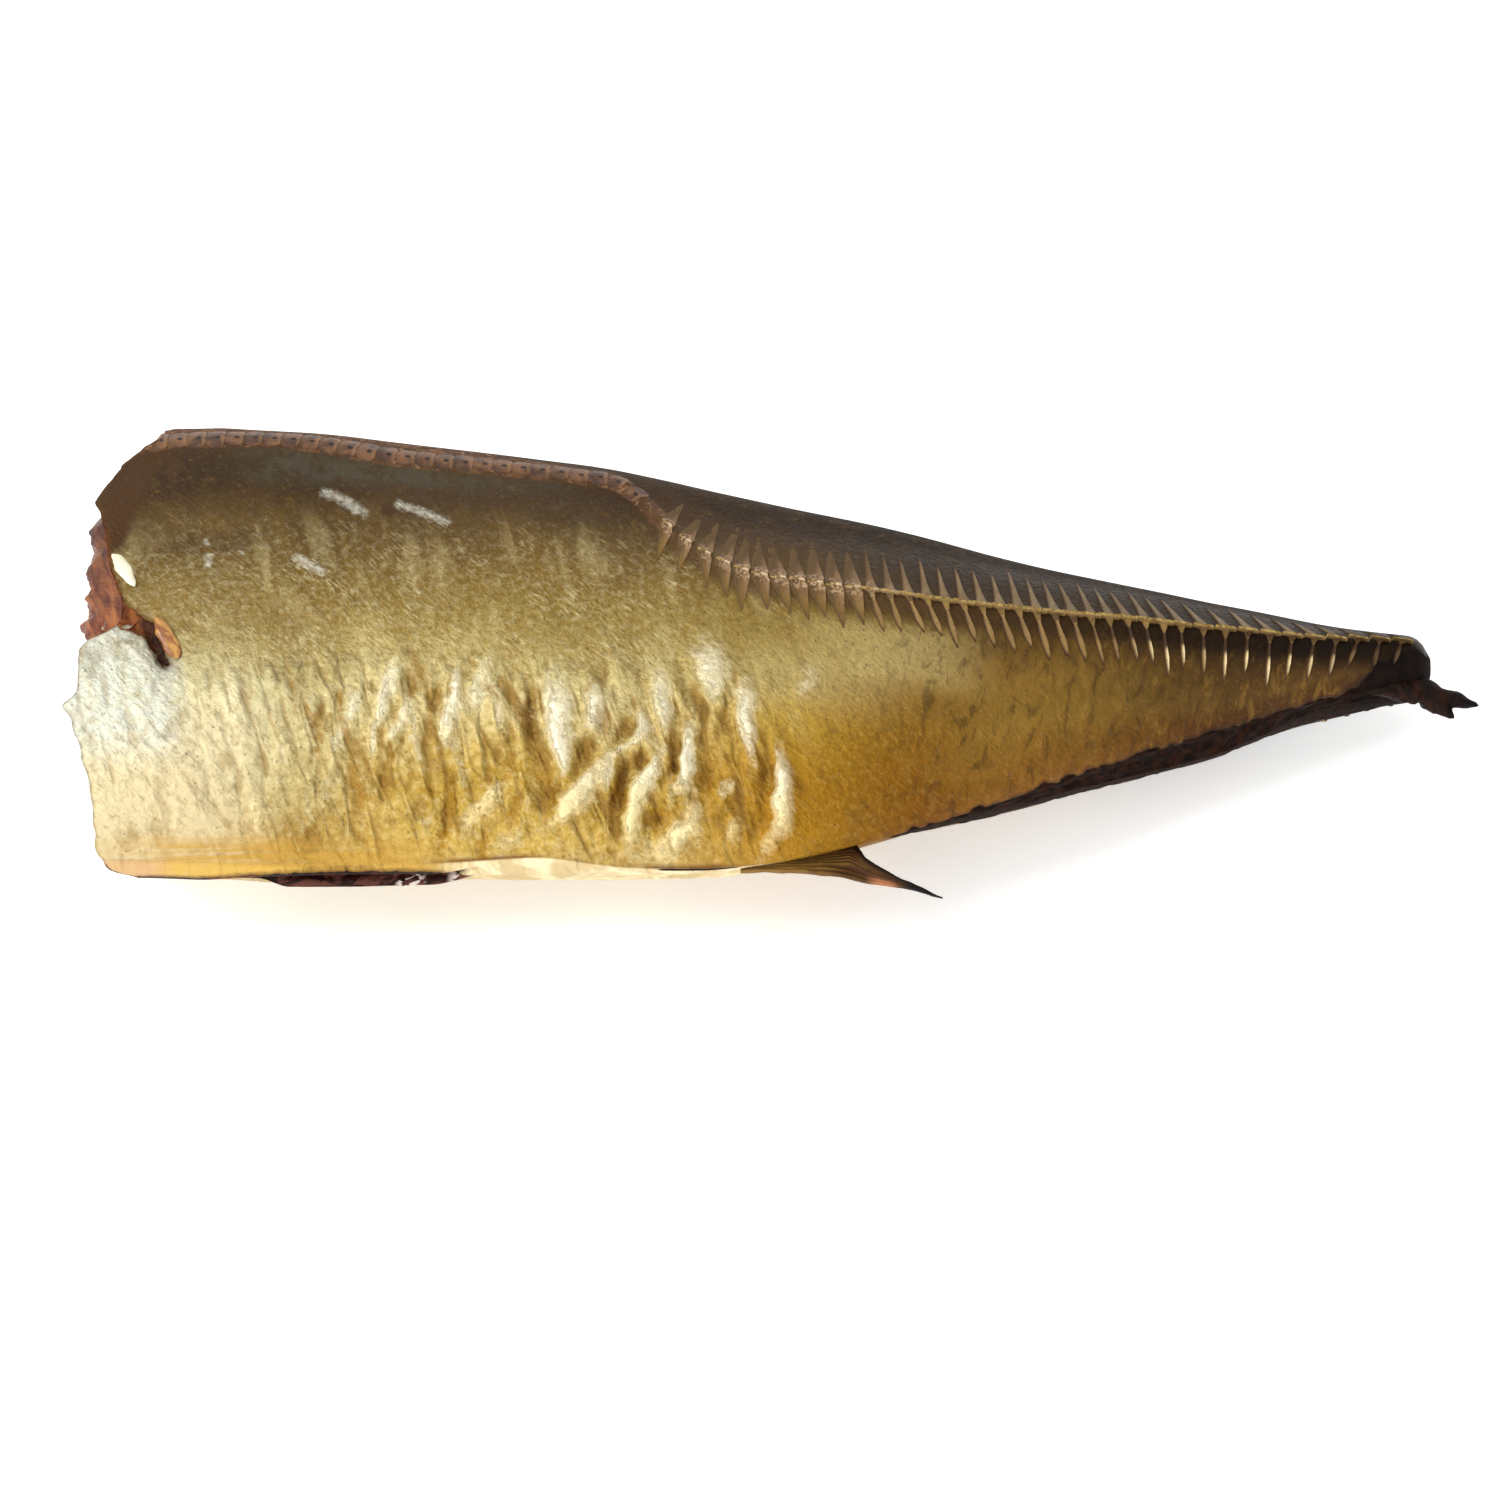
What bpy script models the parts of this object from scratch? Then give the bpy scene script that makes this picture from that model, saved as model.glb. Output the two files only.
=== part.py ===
"""A cold-smoked jack mackerel without head, fins and guts, lying on its side.

Metres. +X runs to the tail, +Y to the back, +Z up, with z = 0 under the flank that it lies on.
A cross-section is drawn in its own axes: v from the thickest line of the body towards the back,
w from the middle of the body towards the flank that faces up.
"""

import math

import bmesh
import bpy
import numpy as np
from mathutils import Vector, noise

MM = 0.001

# Stations along the trunk, from the head cut to the end of the tail stalk
STATION_X = np.array([-102, -88, -66, -42, -20, 0, 20, 36, 52, 68, 84, 94, 101]) * MM
BACK_DEPTH = np.array([34.6, 34.4, 32.7, 30.1, 28.4, 26.9, 24.4, 20.8, 16.7, 13.1, 8.8, 5.8, 5]) * MM
BELLY_DEPTH = np.array([42.2, 42.8, 42.4, 41.8, 42.4, 40.6, 34, 27.4, 20.4, 13.7, 7.2, 5, 4.3]) * MM
HALF_WIDTH = np.array([21, 22, 22.5, 22, 21, 19.5, 17.5, 15.5, 13, 10.5, 8, 6, 5]) * MM
ROLL_DEGREES = np.array([6, 6, 6, 5, 3, 1, -1, -2, -3, -4, -5, -6, -6.0])
CENTRE_Y = np.array([2, 2, 1.5, 1, 0.5, 0, -0.5, 0.2, 1.4, 2.4, 3.6, 5.5, 6.3]) * MM
CENTRE_Z = np.array([20, 20.5, 21, 20.5, 19.5, 18, 16.5, 15, 13.5, 12, 11, 10, 9.5]) * MM
# Superellipse powers: a boxy back, and a belly that narrows to an edge
BACK_POWER = np.array([2.8, 2.8, 2.8, 2.7, 2.5, 2.2, 2, 1.9, 1.8, 1.8, 1.9, 2, 2])
BELLY_POWER = np.array([1.7, 1.7, 1.65, 1.6, 1.6, 1.6, 1.6, 1.6, 1.6, 1.6, 1.7, 1.8, 1.9])

# Belly edge: half widths up to each crease, and how much shorter the lower flap is
UPPER_LIP = np.array([4.5, 4.5, 3.6, 3.6, 3, 2.4, 2.4, 2.6, 2.6, 2.4, 2, 1.6, 1.4]) * MM
LOWER_LIP = np.array([4.5, 4.5, 4, 3.6, 3, 2.4, 2.4, 2.6, 2.6, 2.4, 2, 1.6, 1.4]) * MM
LOWER_TUCK = np.array([3.6, 3.8, 2.2, 2.5, 3, 3.4, 4.6, 3.2, 1.4, 0.2, 2.2, 1.1, 0.8]) * MM
SLIT_HALF_GAP = np.array([0.5, 0.7, 1.6, 1.2, 0.6, 0.5, 0.5, 0.5, 0.5, 0.5, 0.5, 0.5, 0.5]) * MM
LIP_BULGE = 0.6 * MM
SLIT_CLOSES = (-34 * MM, -20 * MM)
STRIP_HOLLOW = 0.8 * MM

# Rings of the trunk: (last place, spacing) from the head cut on, closer where the belly is folded
RING_RUNS = ((-84 * MM, 2.2 * MM), (-66 * MM, 3 * MM), (6 * MM, 1.9 * MM), (100 * MM, 4.2 * MM))
BACK_STEPS = 8
BELLY_STEPS = 14
FLAP_STEPS = 6
TAIL_END_SHARE, TAIL_DOME = 0.62, 0.6 * MM

# Head cut: its edge leans back towards the nape and the belly, and the flesh bulges out of it
CUT_FADE = 26 * MM
NAPE_START, NAPE_SPAN, NAPE_SETBACK = 6 * MM, 27 * MM, 13 * MM
THROAT_START, THROAT_SPAN, THROAT_SETBACK = -24 * MM, 18 * MM, 5.4 * MM
FLESH_LOW, FLESH_HIGH, SKIN_RECESS, FLESH_BULGE = -15 * MM, 9 * MM, 3.2 * MM, 4.6 * MM
NUB_AT, NUB_HALF, NUB_OUT = -23.3 * MM, 1.8 * MM, 2.6 * MM
CUT_ROUGHNESS = 0.8 * MM
UPPER_FLAP_COLUMNS, LOWER_FLAP_COLUMNS = 4, 3
SPINE_AT, SPINE_RADIUS, SPINE_OUT = 2 * MM, 4.2 * MM, 0.9 * MM

# Pit left by the pectoral fin, with a groove that runs to the cut: (x, v)
PIT_FROM, PIT_TO = (-98 * MM, -3.5 * MM), (-88 * MM, -16 * MM)
PIT_HALF_WIDTH, PIT_DEPTH = 2.4 * MM, 1.6 * MM

# Height of the lateral line above the thickest line of the body: it drops behind the trunk's middle
LINE_X = np.array([-102, -73, -57, -42, -30, -22, -17.5, -13.5, -9, -3, 4, 101]) * MM
LINE_V = np.array([25, 24.5, 21.5, 20.4, 19.5, 17.8, 11.8, 7, 3.2, 0.5, 0, 0]) * MM
LINE_HALF_BAND, LINE_SWELL = 2.2 * MM, 0.45 * MM

# Bony scutes on the straight part of the lateral line
SCUTE_PITCH = 2.9 * MM
SCUTE_FIRST, SCUTE_LAST = -14 * MM, 98 * MM
SCUTE_REACH = np.array([5.2, 6.4, 6.6, 6, 4.6, 3]) * MM
SCUTE_REACH_X = np.array([-14, 10, 40, 65, 85, 98]) * MM
SCUTE_LEAN = 1.5 * MM
SCUTE_KEEL, SCUTE_TIP, SCUTE_FRONT = 1.1 * MM, 0.2 * MM, 0.15 * MM
SCUTE_ROOT, SCUTE_ROOT_SHARE = 0.7 * MM, 0.35
SCUTE_CLEARANCE = 1.2 * MM

# Folds of the slack belly skin, each from one end to the other: (x, v), (x, v), height
FOLDS_MM = (
    ((-32.5, -22.8), (-30.5, -33), 0.9),
    ((-27, -22.5), (-26, -28.2), 0.7),
    ((-24.5, -33), (-33, -39.3), 1.2),
    ((-19, -24), (-22, -30.5), 0.9),
    ((-16.5, -29.5), (-20, -40), 1.3),
    ((-16, -18), (-15.5, -28), 0.9),
    ((-12, -24.7), (-14, -34.8), 1.3),
    ((-10.5, -34), (-17.5, -40), 1.1),
    ((-11, -12.8), (-7, -22), 0.8),
    ((-4, -15.5), (-3, -29), 0.9),
    ((0.5, -26), (-1, -38.5), 0.8),
    ((5, -14.8), (4.5, -20.5), 0.4),
    ((-24, -28), (-23.5, -39), 0.7),
    ((-62, -22.8), (-64, -29.3), 0.7),
    ((-56, -18.6), (-58, -27), 0.8),
    ((-52, -24.3), (-55.5, -29.8), 0.8),
    ((-46, -17.3), (-46.5, -22.7), 0.6),
    ((-42, -16.7), (-43, -22.7), 0.5),
    ((-75, -36.7), (-75, -40), 0.5),
)
FOLD_HALF_WIDTH = 1.35 * MM

# Stump of the anal fin: outline as (x, v), thickest along its root
FIN_OUTLINE_MM = (
    ((1.2, -36), (1.6, -41), (6.5, -41.4), (11.6, -41.7), (17.5, -43), (24.8, -44.4))
    + ((21.6, -42.6), (18.6, -40.6), (15.8, -37.6), (14.2, -35.2), (13, -32))
)
FIN_ROOT_HALF, FIN_TIP_HALF = 0.7 * MM, 0.3 * MM

# Torn end of the cut strip, past the tail stalk: outline as (x, v)
STUB_OUTLINE_MM = (
    ((95, -2.5), (95, -5.4), (98.5, -6.8), (101.4, -8.6), (103.6, -10.4), (104.8, -11), (105.4, -9))
    + ((107.5, -8.6), (108.9, -7.7), (107.4, -6.4), (105.1, -4.6), (102.8, -2.6), (100, -0.6), (97, 0))
)
STUB_ROOT_HALF, STUB_TIP_HALF = 2.1 * MM, 0.6 * MM

# Puts the middle of the trunk's box at x = y = 0
TO_CENTRE = Vector((-2.1, 4.1, 0)) * MM


def along(stations, values, x):
    """A smooth curve through the values, a cubic from each station to the next."""
    x = np.clip(x, stations[0], stations[-1])
    step = np.diff(stations)
    rate = np.diff(values) / step
    slope = np.concatenate([rate[:1], np.empty(len(rate) - 1), rate[-1:]])
    slope[1:-1] = (rate[:-1] * step[1:] + rate[1:] * step[:-1]) / (step[1:] + step[:-1])
    i = np.clip(np.searchsorted(stations, x, side="right") - 1, 0, len(step) - 1)
    t = (x - stations[i]) / step[i]
    ends = (1 + 2 * t) * (1 - t) ** 2 * values[i] + t * t * (3 - 2 * t) * values[i + 1]
    return ends + step[i] * (t * (1 - t) ** 2 * slope[i] + t * t * (t - 1) * slope[i + 1])


def at(values, x):
    return along(STATION_X, values, x)


def ease(low, high, x):
    """0 below low, 1 above high and smooth between."""
    t = np.clip((x - low) / (high - low), 0, 1)
    return t * t * (3 - 2 * t)


def between(low, high, blend, x):
    """1 from low to high and 0 outside, with soft ends."""
    return ease(low - blend, low + blend, x) * (1 - ease(high - blend, high + blend, x))


def place(x, v, w):
    """The point (x, v, w) of the body in the frame of the trunk. What would lie lower is pressed flat."""
    roll = np.radians(at(ROLL_DEGREES, x))
    y = at(CENTRE_Y, x) + v * np.cos(roll) - w * np.sin(roll)
    z = at(CENTRE_Z, x) + v * np.sin(roll) + w * np.cos(roll)
    return Vector((x, y, max(z, 0))) + TO_CENTRE


def flank(x, side):
    """One side of the section at x, from the back edge to the belly crease, as rows of (v, w)."""
    half = at(HALF_WIDTH, x)
    belly = at(BELLY_DEPTH, x)
    lip = at(UPPER_LIP, x)
    if side < 0:
        belly = belly - at(LOWER_TUCK, x)
        lip = at(LOWER_LIP, x)
    back_bend = 2 / at(BACK_POWER, x)
    belly_bend = 2 / at(BELLY_POWER, x)
    t = np.linspace(0, math.pi / 2, BACK_STEPS + 1)[:-1]
    back = [at(BACK_DEPTH, x) * np.cos(t) ** back_bend, half * np.sin(t) ** back_bend]
    t = np.linspace(0, math.pi / 2, BELLY_STEPS + 1)
    cosine = np.clip(np.cos(t), 0, 1)
    low = [-belly * np.sin(t) ** belly_bend, lip + (half - lip) * cosine**belly_bend]
    rows = np.concatenate([back, low], axis=1).T
    return rows * (1, side)


def ridge(offset, half_width):
    """A smooth bump across a line, 1 on the line."""
    return np.exp(-((offset / half_width) ** 2))


def line_offset(x, v, start, end):
    """Distance from the stretch between start and end, and how far along it the nearest point is."""
    run = np.subtract(end, start)
    reach = np.subtract((x, v), start)
    part = np.clip(np.dot(reach, run) / np.dot(run, run), 0, 1)
    return np.hypot(*(reach - part * run)), part


def relief(x, v, side):
    """How far the skin stands out at (x, v) of a flank: lateral line, belly folds and fin pit."""
    out = LINE_SWELL * ridge(v - along(LINE_X, LINE_V, x), LINE_HALF_BAND)
    if side < 0:
        return out
    for start, end, height in FOLDS_MM:
        distance, part = line_offset(x, v, np.array(start) * MM, np.array(end) * MM)
        taper = 0.5 + 0.5 * math.sin(math.pi * part)
        out += height * MM * taper * ridge(distance, FOLD_HALF_WIDTH)
    distance, part = line_offset(x, v, PIT_FROM, PIT_TO)
    return out - PIT_DEPTH * (0.5 + 0.5 * part) * ridge(distance, PIT_HALF_WIDTH)


def swollen(x, rows, side):
    """The flank's rows moved outwards by the relief, except its two end points."""
    run = np.gradient(rows, axis=0)
    outward = np.stack([-run[:, 1], run[:, 0]], axis=1) * -side
    outward /= np.linalg.norm(outward, axis=1)[:, None]
    amount = np.array([relief(x, v, side) for v in rows[:, 0]])
    amount[[0, -1]] = 0
    return rows + outward * amount[:, None]


def slit_walls(x, upper, lower):
    """Points from the upper crease round to the lower one: a slit in front, a flat cut strip behind."""
    part = np.linspace(0, 1, 2 * FLAP_STEPS + 1)[1:-1, None]
    strip = upper[-1] * (1 - part) + lower[-1] * part
    strip[:, 0] += (STRIP_HOLLOW * np.sin(math.pi * part))[:, 0]
    gap = at(SLIT_HALF_GAP, x)
    slit = []
    for rows, side in ((upper, 1), (lower, -1)):
        wall = rows[-2 : -FLAP_STEPS - 2 : -1].copy()
        wall[:, 1] = side * gap * np.linspace(1, 0, FLAP_STEPS)
        wall[0, 0] -= LIP_BULGE
        slit.append(wall)
    roof = (slit[0][-1] + slit[1][-1]) / 2
    slit = np.concatenate([slit[0][:-1], [roof], slit[1][-2::-1]])
    shut = ease(*SLIT_CLOSES, x)
    return slit * (1 - shut) + strip * shut


def setback(v):
    """How far behind its foremost place the head cut's edge lies at height v."""
    nape = NAPE_SETBACK * np.clip((v - NAPE_START) / NAPE_SPAN, 0, 1) ** 1.5
    throat = THROAT_SETBACK * np.clip((THROAT_START - v) / THROAT_SPAN, 0, 1) ** 1.5
    bare = SKIN_RECESS * between(FLESH_LOW, FLESH_HIGH, 2 * MM, v)
    return nape + throat + bare - NUB_OUT * ridge(v - NUB_AT, NUB_HALF)


def roughness(v, w, scale):
    return noise.noise(Vector((v / scale, w / scale, 0.5)))


def head_x(x, v, w):
    """Where the ring at x lies at height v, after the lean and the raggedness of the head cut."""
    fade = 1 - ease(0, CUT_FADE, x - STATION_X[0])
    near = 1 - ease(0, 6 * MM, x - STATION_X[0])
    return x + fade * setback(v) + near * CUT_ROUGHNESS * roughness(v, w, 3 * MM)


def ring_places():
    places = [STATION_X[0]]
    for last, spacing in RING_RUNS:
        count = max(1, round((last - places[-1]) / spacing))
        places.extend(np.linspace(places[-1], last, count + 1)[1:])
    return places


def ring_points(x):
    """The whole section at x: upper flank, slit walls and lower flank back to the back edge."""
    upper = swollen(x, flank(x, 1), 1)
    lower = swollen(x, flank(x, -1), -1)
    return np.concatenate([upper, slit_walls(x, upper, lower), lower[:0:-1]])


def add_ring(bm, x, points):
    return [bm.verts.new(place(head_x(x, v, w), v, w)) for v, w in points]


def bridge(bm, first, second):
    """Quads between two rings of equal length."""
    for i in range(len(first)):
        j = (i + 1) % len(first)
        bm.faces.new((first[i], first[j], second[j], second[i]))


def cut_face_point(v, w, edge_x, w_upper, w_lower):
    """A point inside the head cut: the flesh bulges between the skins, round the end of the spine."""
    part = (w - w_lower) / (w_upper - w_lower)
    middle = math.sin(math.pi * part) ** 0.5
    fleshy = between(FLESH_LOW, FLESH_HIGH + 2 * MM, 3 * MM, v)
    out = middle * FLESH_BULGE * fleshy
    out += SPINE_OUT * ease(SPINE_RADIUS + 1 * MM, SPINE_RADIUS - 1 * MM, math.hypot(v - SPINE_AT, w))
    out += middle * CUT_ROUGHNESS * roughness(v, w, 4 * MM)
    return place(edge_x - out, v, w)


def cut_row(bm, left, right, columns, edge_x):
    """Vertices across the cut between two rim points, given as (vertex, v, w)."""
    row = [left[0]]
    for part in np.linspace(0, 1, columns + 1)[1:-1]:
        v = left[1] * (1 - part) + right[1] * part
        w = left[2] * (1 - part) + right[2] * part
        row.append(bm.verts.new(cut_face_point(v, w, edge_x, left[2], right[2])))
    row.append(right[0])
    return row


def close_rows(bm, rows):
    for above, below in zip(rows, rows[1:]):
        for i in range(len(above) - 1):
            bm.faces.new((above[i], above[i + 1], below[i + 1], below[i]))


def fan(bm, tip, row):
    for first, second in zip(row, row[1:]):
        bm.faces.new((tip, first, second))


def close_head(bm, ring, points):
    """The cut face, in rows across the body and, beside the slit, across each flap."""
    crease = BACK_STEPS + BELLY_STEPS
    roof = crease + FLAP_STEPS
    flap = crease - FLAP_STEPS

    def row(i, j, columns):
        edge_x = STATION_X[0] + setback((points[i][0] + points[j][0]) / 2)
        return cut_row(bm, (ring[i], *points[i]), (ring[j], *points[j]), columns, edge_x)

    upper = [row(flap + k, roof - k, UPPER_FLAP_COLUMNS) for k in range(FLAP_STEPS)]
    lower = [row(roof + k, -flap - k, LOWER_FLAP_COLUMNS) for k in range(FLAP_STEPS)]
    whole = [row(i, -i, UPPER_FLAP_COLUMNS + LOWER_FLAP_COLUMNS) for i in range(1, flap)]
    whole.append(upper[0] + lower[0][1:])
    for rows in (whole, upper, lower):
        close_rows(bm, rows)
    fan(bm, ring[0], whole[0])
    fan(bm, ring[crease], upper[-1])
    fan(bm, ring[crease + 2 * FLAP_STEPS], lower[-1])


def close_tail(bm, ring, points):
    """A rounded end on the tail stalk."""
    inner = add_ring(bm, STATION_X[-1], points * TAIL_END_SHARE)
    tip = bm.verts.new(place(STATION_X[-1] + TAIL_DOME, 0, 0))
    bridge(bm, ring, inner)
    fan(bm, tip, inner + inner[:1])


def trunk_mesh():
    bm = bmesh.new()
    rings = []
    for x in ring_places():
        points = ring_points(x)
        rings.append((add_ring(bm, x, points), points))
    for (first, _), (second, _) in zip(rings, rings[1:]):
        bridge(bm, first, second)
    close_head(bm, *rings[0])
    close_tail(bm, *rings[-1])
    return bm


def plate_mesh(outline_mm, root_half, tip_half):
    """A thin plate in the body's middle plane, from the first points' thickness to the far end's."""
    bm = bmesh.new()
    outline = np.array(outline_mm) * MM
    far = outline[:, 0].max() - outline[:, 0].min()
    sides = []
    for side in (1, -1):
        row = []
        for x, v in outline:
            part = (x - outline[:, 0].min()) / far
            half = root_half * (1 - part) + tip_half * part
            row.append(bm.verts.new(place(x, v, side * half)))
        sides.append(row)
    bridge(bm, sides[1], sides[0])
    bm.faces.new(sides[0][::-1])
    bm.faces.new(sides[1])
    return bm


def surface_w(x, v, side):
    """Half width of the body at (x, v)."""
    rows = flank(x, side)
    order = np.argsort(rows[:, 0])
    return np.interp(v, rows[order, 0], rows[order, 1])


def scute_mesh(x, side):
    """One bony plate: a crest from its upper tip over the keel to its lower tip, sloping to the front."""
    bm = bmesh.new()
    line = along(LINE_X, LINE_V, x)
    reach = along(SCUTE_REACH_X, SCUTE_REACH, x)
    tips = []
    for up in (1, -1):
        tip_x = x - up * SCUTE_LEAN
        tip_v = line + up * reach
        tip_w = surface_w(tip_x, tip_v, side) + side * SCUTE_TIP
        tips.append(bm.verts.new(place(tip_x, tip_v, tip_w)))
    keel_w = surface_w(x, line, side)
    keel = bm.verts.new(place(x + SCUTE_PITCH / 2, line, keel_w + side * SCUTE_KEEL))
    front = bm.verts.new(place(x - SCUTE_PITCH / 2, line, keel_w + side * SCUTE_FRONT))
    root = bm.verts.new(place(x, line, keel_w - side * (SCUTE_ROOT + reach * SCUTE_ROOT_SHARE)))
    upper, lower = tips
    for corners in ((upper, keel, front), (lower, front, keel), (upper, front, root), (front, lower, root)):
        bm.faces.new(corners)
    bm.faces.new((upper, root, keel))
    bm.faces.new((root, lower, keel))
    return bm


def add_object(name, bm, collection):
    bmesh.ops.recalc_face_normals(bm, faces=bm.faces)
    mesh = bpy.data.meshes.new(name)
    bm.to_mesh(mesh)
    bm.free()
    obj = bpy.data.objects.new(name, mesh)
    collection.objects.link(obj)
    return obj


def add_collection(name):
    collection = bpy.data.collections.new(name)
    bpy.context.scene.collection.children.link(collection)
    return collection


def smoked_skin():
    material = bpy.data.materials.new("smoked_skin")
    material.use_nodes = True
    shader = material.node_tree.nodes["Principled BSDF"]
    shader.inputs["Base Color"].default_value = (0.36, 0.24, 0.09, 1)
    shader.inputs["Roughness"].default_value = 0.4
    shader.inputs["Metallic"].default_value = 0.25
    return material


def add_scutes(collection):
    count = round((SCUTE_LAST - SCUTE_FIRST) / SCUTE_PITCH) + 1
    for side in (1, -1):
        for number, x in enumerate(np.linspace(SCUTE_FIRST, SCUTE_LAST, count)):
            lowest = place(x, along(LINE_X, LINE_V, x), side * (at(HALF_WIDTH, x) + SCUTE_KEEL)).z
            if lowest > SCUTE_CLEARANCE:
                name = f"scute_{'upper' if side > 0 else 'lower'}_{number:02d}"
                add_object(name, scute_mesh(x, side), collection)


def join(trunk, pieces):
    """One solid of the trunk and what is fused to it."""
    union = trunk.modifiers.new("fuse", "BOOLEAN")
    union.operation = "UNION"
    union.operand_type = "COLLECTION"
    union.collection = pieces
    union.solver = "MANIFOLD"
    graph = bpy.context.evaluated_depsgraph_get()
    joined = bpy.data.meshes.new_from_object(trunk.evaluated_get(graph))
    trunk.modifiers.clear()
    trunk.data = joined
    for obj in list(pieces.objects):
        bpy.data.objects.remove(obj)
    bpy.data.collections.remove(pieces)


def main():
    for obj in list(bpy.data.objects):
        bpy.data.objects.remove(obj)
    fish = add_collection("cold_smoked_jack_mackerel")
    pieces = add_collection("fused_pieces")
    trunk = add_object("fish_trunk", trunk_mesh(), fish)
    add_object("fin_stump", plate_mesh(FIN_OUTLINE_MM, FIN_ROOT_HALF, FIN_TIP_HALF), pieces)
    add_object("tail_stub", plate_mesh(STUB_OUTLINE_MM, STUB_ROOT_HALF, STUB_TIP_HALF), pieces)
    add_scutes(pieces)
    join(trunk, pieces)
    trunk.data.materials.clear()
    trunk.data.materials.append(smoked_skin())
    trunk.data.shade_smooth()
    trunk.data.set_sharp_from_angle(angle=math.radians(50))


main()
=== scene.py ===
import math

import bpy
import numpy as np
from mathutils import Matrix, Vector, geometry, noise


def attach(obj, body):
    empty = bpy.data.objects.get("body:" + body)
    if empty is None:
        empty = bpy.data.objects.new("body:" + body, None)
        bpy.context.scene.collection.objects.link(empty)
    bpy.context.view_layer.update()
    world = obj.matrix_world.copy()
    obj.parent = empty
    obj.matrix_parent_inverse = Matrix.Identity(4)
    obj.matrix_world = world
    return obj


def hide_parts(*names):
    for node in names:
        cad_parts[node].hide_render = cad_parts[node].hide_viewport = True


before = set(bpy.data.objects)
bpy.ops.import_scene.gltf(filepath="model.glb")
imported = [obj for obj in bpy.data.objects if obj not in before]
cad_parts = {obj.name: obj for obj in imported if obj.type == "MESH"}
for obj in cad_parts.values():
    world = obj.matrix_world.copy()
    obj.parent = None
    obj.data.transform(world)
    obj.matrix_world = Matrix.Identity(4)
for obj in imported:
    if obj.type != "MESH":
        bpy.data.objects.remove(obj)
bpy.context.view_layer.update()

# The skin of the trunk: thin, oily and smoked golden, dark on the back and silvery on the belly. It is one
# bag round the meat that was cut off behind the head, slit along the belly, and sliced away with the fins.
# Its places are in mm: x towards the tail, v from the thickest line to the back, w towards the upper flank.

MM = 0.001
STATION_X = np.array([-102, -88, -66, -42, -20, 0, 20, 36, 52, 68, 84, 94, 101.0])
BACK_DEPTH = np.array([34.6, 34.4, 32.7, 30.1, 28.4, 26.9, 24.4, 20.8, 16.7, 13.1, 8.8, 5.8, 5])
BELLY_DEPTH = np.array([42.2, 42.8, 42.4, 41.8, 42.4, 40.6, 34, 27.4, 20.4, 13.7, 7.2, 5, 4.3])
HALF_WIDTH = np.array([21, 22, 22.5, 22, 21, 19.5, 17.5, 15.5, 13, 10.5, 8, 6, 5])
ROLL_DEGREES = np.array([6, 6, 6, 5, 3, 1, -1, -2, -3, -4, -5, -6, -6.0])
CENTRE_Y = np.array([2, 2, 1.5, 1, 0.5, 0, -0.5, 0.2, 1.4, 2.4, 3.6, 5.5, 6.3])
CENTRE_Z = np.array([20, 20.5, 21, 20.5, 19.5, 18, 16.5, 15, 13.5, 12, 11, 10, 9.5])
BACK_POWER = np.array([2.8, 2.8, 2.8, 2.7, 2.5, 2.2, 2, 1.9, 1.8, 1.8, 1.9, 2, 2])
BELLY_POWER = np.array([1.7, 1.7, 1.65, 1.6, 1.6, 1.6, 1.6, 1.6, 1.6, 1.6, 1.7, 1.8, 1.9])
UPPER_LIP = np.array([4.5, 4.5, 2.7, 3.7, 3, 2.4, 2.4, 2.6, 2.6, 2.4, 2, 1.6, 1.4])
LOWER_LIP = np.array([4.5, 4.5, 4, 3.6, 3, 2.4, 2.4, 2.6, 2.6, 2.4, 2, 1.6, 1.4])
LOWER_TUCK = np.array([3.6, 3.8, 2.2, 2.5, 3, 3.4, 4.6, 3.2, 1.4, 0.2, 2.2, 1.1, 0.8])
SLIT_HALF_GAP = np.array([0.5, 0.7, 1.6, 1.2, 0.6, 0.5, 0.5, 0.5, 0.5, 0.5, 0.5, 0.5, 0.5])
SLIT_DEPTH, LIP_BULGE, SLIT_CLOSES, STRIP_HOLLOW = 10.6, 0.7, (-50, -42), 0.8
FLAP_AT, FLAP_HALF, FLAP_RISE = -33, 8, 1.6
LINE_X = np.array([-102, -73, -57, -42, -30, -22, -17.5, -13.5, -9, -3, 4, 101.0])
LINE_V = np.array([25, 24.5, 21.5, 20.4, 19.5, 17.8, 11.8, 7, 3.2, 0.5, 0, 0])
TO_CENTRE = (-2.1, 4.1)
HEAD_X, TAIL_X = STATION_X[0], STATION_X[-1]

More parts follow.
